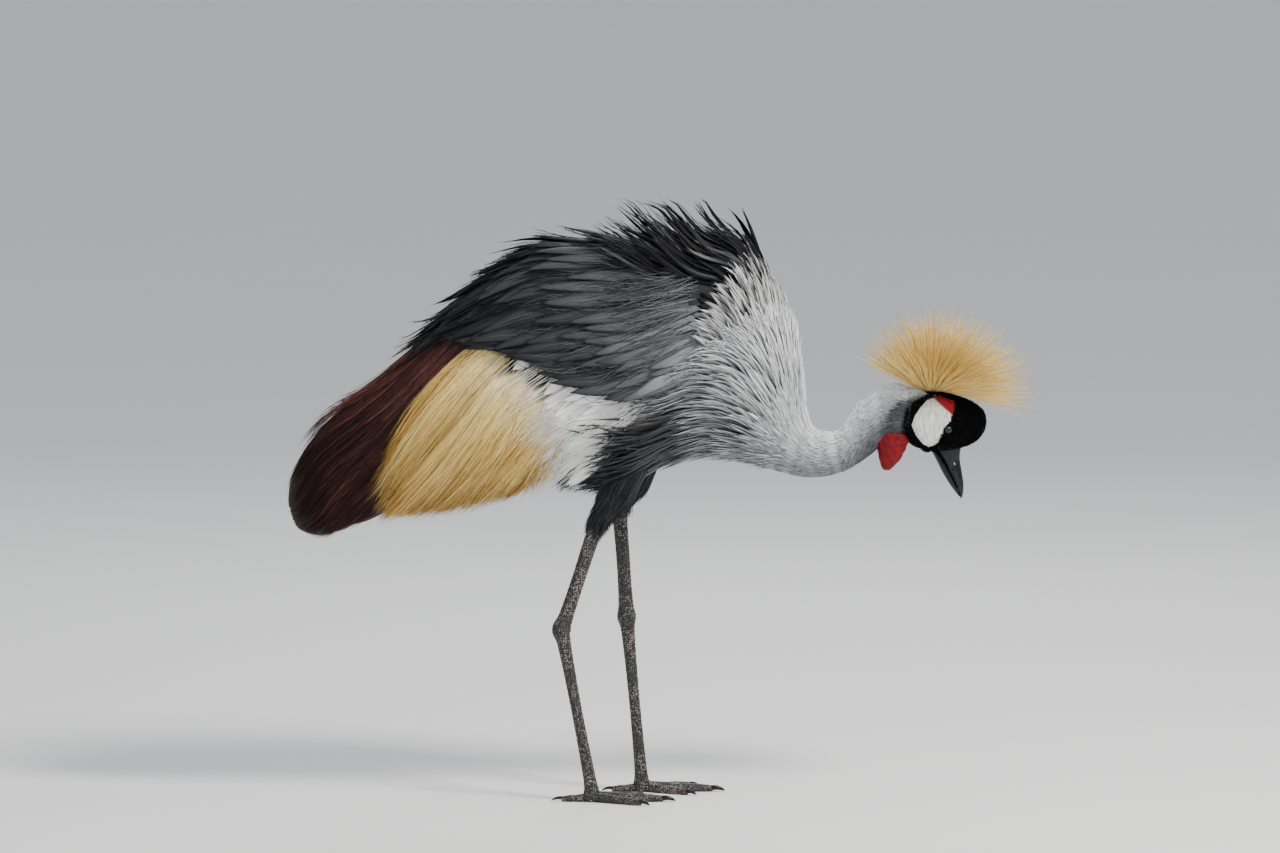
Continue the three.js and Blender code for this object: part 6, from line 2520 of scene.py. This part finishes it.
@dataclass
class Studio:
    """Pale floor, soft lights and the camera at the photograph's angle."""

    shift: float
    distance: float = 12.0
    elevation: float = 6.0
    view_width: float = 1.536
    aim: tuple[float, float] = (24.0, 448.2)
    floor: Colour = (0.78, 0.78, 0.77)

    def camera(self) -> None:
        """A long lens level with the bird, a little above it."""
        data = bpy.data.cameras.new("camera")
        data.sensor_width = 36.0
        data.lens = data.sensor_width * self.distance / self.view_width
        data.clip_end = 200.0
        camera = bpy.data.objects.new("camera", data)
        angle = math.radians(self.elevation)
        target = Vector((self.aim[0] * MM + self.shift, 0.0, self.aim[1] * MM))
        back = Vector((0.0, -math.cos(angle), math.sin(angle)))
        camera.location = target + back * self.distance
        camera.rotation_mode = "QUATERNION"
        camera.rotation_quaternion = (-back).to_track_quat("-Z", "Y")
        bpy.context.scene.collection.objects.link(camera)
        bpy.context.scene.camera = camera

    def light(
        self, name: str, place: tuple[float, float, float], size: float, power: float, colour: Colour,
    ) -> None:
        """A square area light that looks at the bird.

        Args:
            name: Its name.
            place: Where it stands.
            size: Its width in metres.
            power: Its power in watts.
            colour: Its colour.
        """
        data = bpy.data.lights.new(name, "AREA")
        data.size = size
        data.energy = power
        data.color = colour
        lamp = bpy.data.objects.new(name, data)
        lamp.location = place
        lamp.rotation_mode = "QUATERNION"
        lamp.rotation_quaternion = (Vector((0.0, 0.0, 0.45)) - Vector(place)).to_track_quat("-Z", "Y")
        bpy.context.scene.collection.objects.link(lamp)

    def build(self) -> None:
        """Sets up floor, world, lights and camera."""
        half = 60.0
        square = ((-half, -half, 0), (half, -half, 0), (half, half, 0), (-half, half, 0))
        data = {"verts": np.array(square, float), "loops": np.arange(4), "totals": np.array([4])}
        floor = make_object("floor", data)
        g = Graph("floor")
        grain = g.mix(g.noise(3.0, None, 2.0), self.floor, (0.8, 0.8, 0.79))
        floor.data.materials.append(g.surface(Base_Color=grain, Roughness=0.9))
        floor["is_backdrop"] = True
        world = bpy.data.worlds.new("studio")
        world.use_nodes = True
        background = world.node_tree.nodes["Background"]
        background.inputs["Color"].default_value = (0.9, 0.93, 1.0, 1.0)
        background.inputs["Strength"].default_value = 0.68
        bpy.context.scene.world = world
        self.light("key", (1.7, -1.5, 2.7), 0.8, 150.0, (1.0, 0.97, 0.92))
        self.light("fill", (-1.8, -2.4, 1.2), 1.6, 22.0, (0.93, 0.96, 1.0))
        self.light("rim", (0.2, 2.4, 2.2), 1.2, 30.0, (1.0, 1.0, 1.0))
        self.camera()


def corners(box: tuple[Vector, Vector]) -> list[list[float]]:
    """A box as plain numbers."""
    return [[float(value) for value in corner] for corner in box]


def main() -> None:
    """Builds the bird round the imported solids."""
    logging.basicConfig(level=logging.INFO, format="%(name)s %(message)s")
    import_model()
    low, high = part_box("eye_right")
    shift = (low.x + high.x) / 2 - EYE_X * MM
    lofts = Lofts(shift)
    face = Face(shift, (low + high) / 2)
    legs = [Leg(name, plan, shift) for name, plan in LEGS.items()]
    Studio(shift).build()
    skin = Skin(lofts, face, legs).build()
    dress(
        skin, SkinFinish().material(), "velvet", "torso", "neck_upper", "neck_lower", "head",
        *(f"{part}_{side}" for side in SIDES for part in ("thigh", "shank", "tarsus", "cheek", "brow")),
        *(f"toe_{toe.name}_{side}" for side in SIDES for toe in TOES),
    )
    eyes = Eyes(shift)
    iris = eyes.material()
    for name, side in SIDES.items():
        dress(eyes.ball(name, side), iris, "iris", f"eye_{name}")
    bill = Bill(shift)
    horn = bill.material()
    dress(bill.upper(), horn, "horn", "bill_upper")
    dress(bill.lower(), horn, "horn", "bill_lower")
    for leg in legs:
        dress(leg.claws(), horn, "horn", *(f"claw_{toe.name}_{leg.name}" for toe in TOES))
    wattle = Wattle(shift)
    dress(wattle.build(), wattle.material(), "bare_red", "wattle")
    crest = Crest(shift)
    dress(crest.build(), crest.material(), "straw", "crest")
    dress(crest.cushion(), VELVET.material(), "straw")
    Tracts(lofts, face, legs, BVHTree.FromObject(skin, bpy.context.evaluated_depsgraph_get())).build()
    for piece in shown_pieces():
        LOG.info("%s: %d points", piece.name, len(piece.data.vertices))


if __name__ == "__main__":
    main()
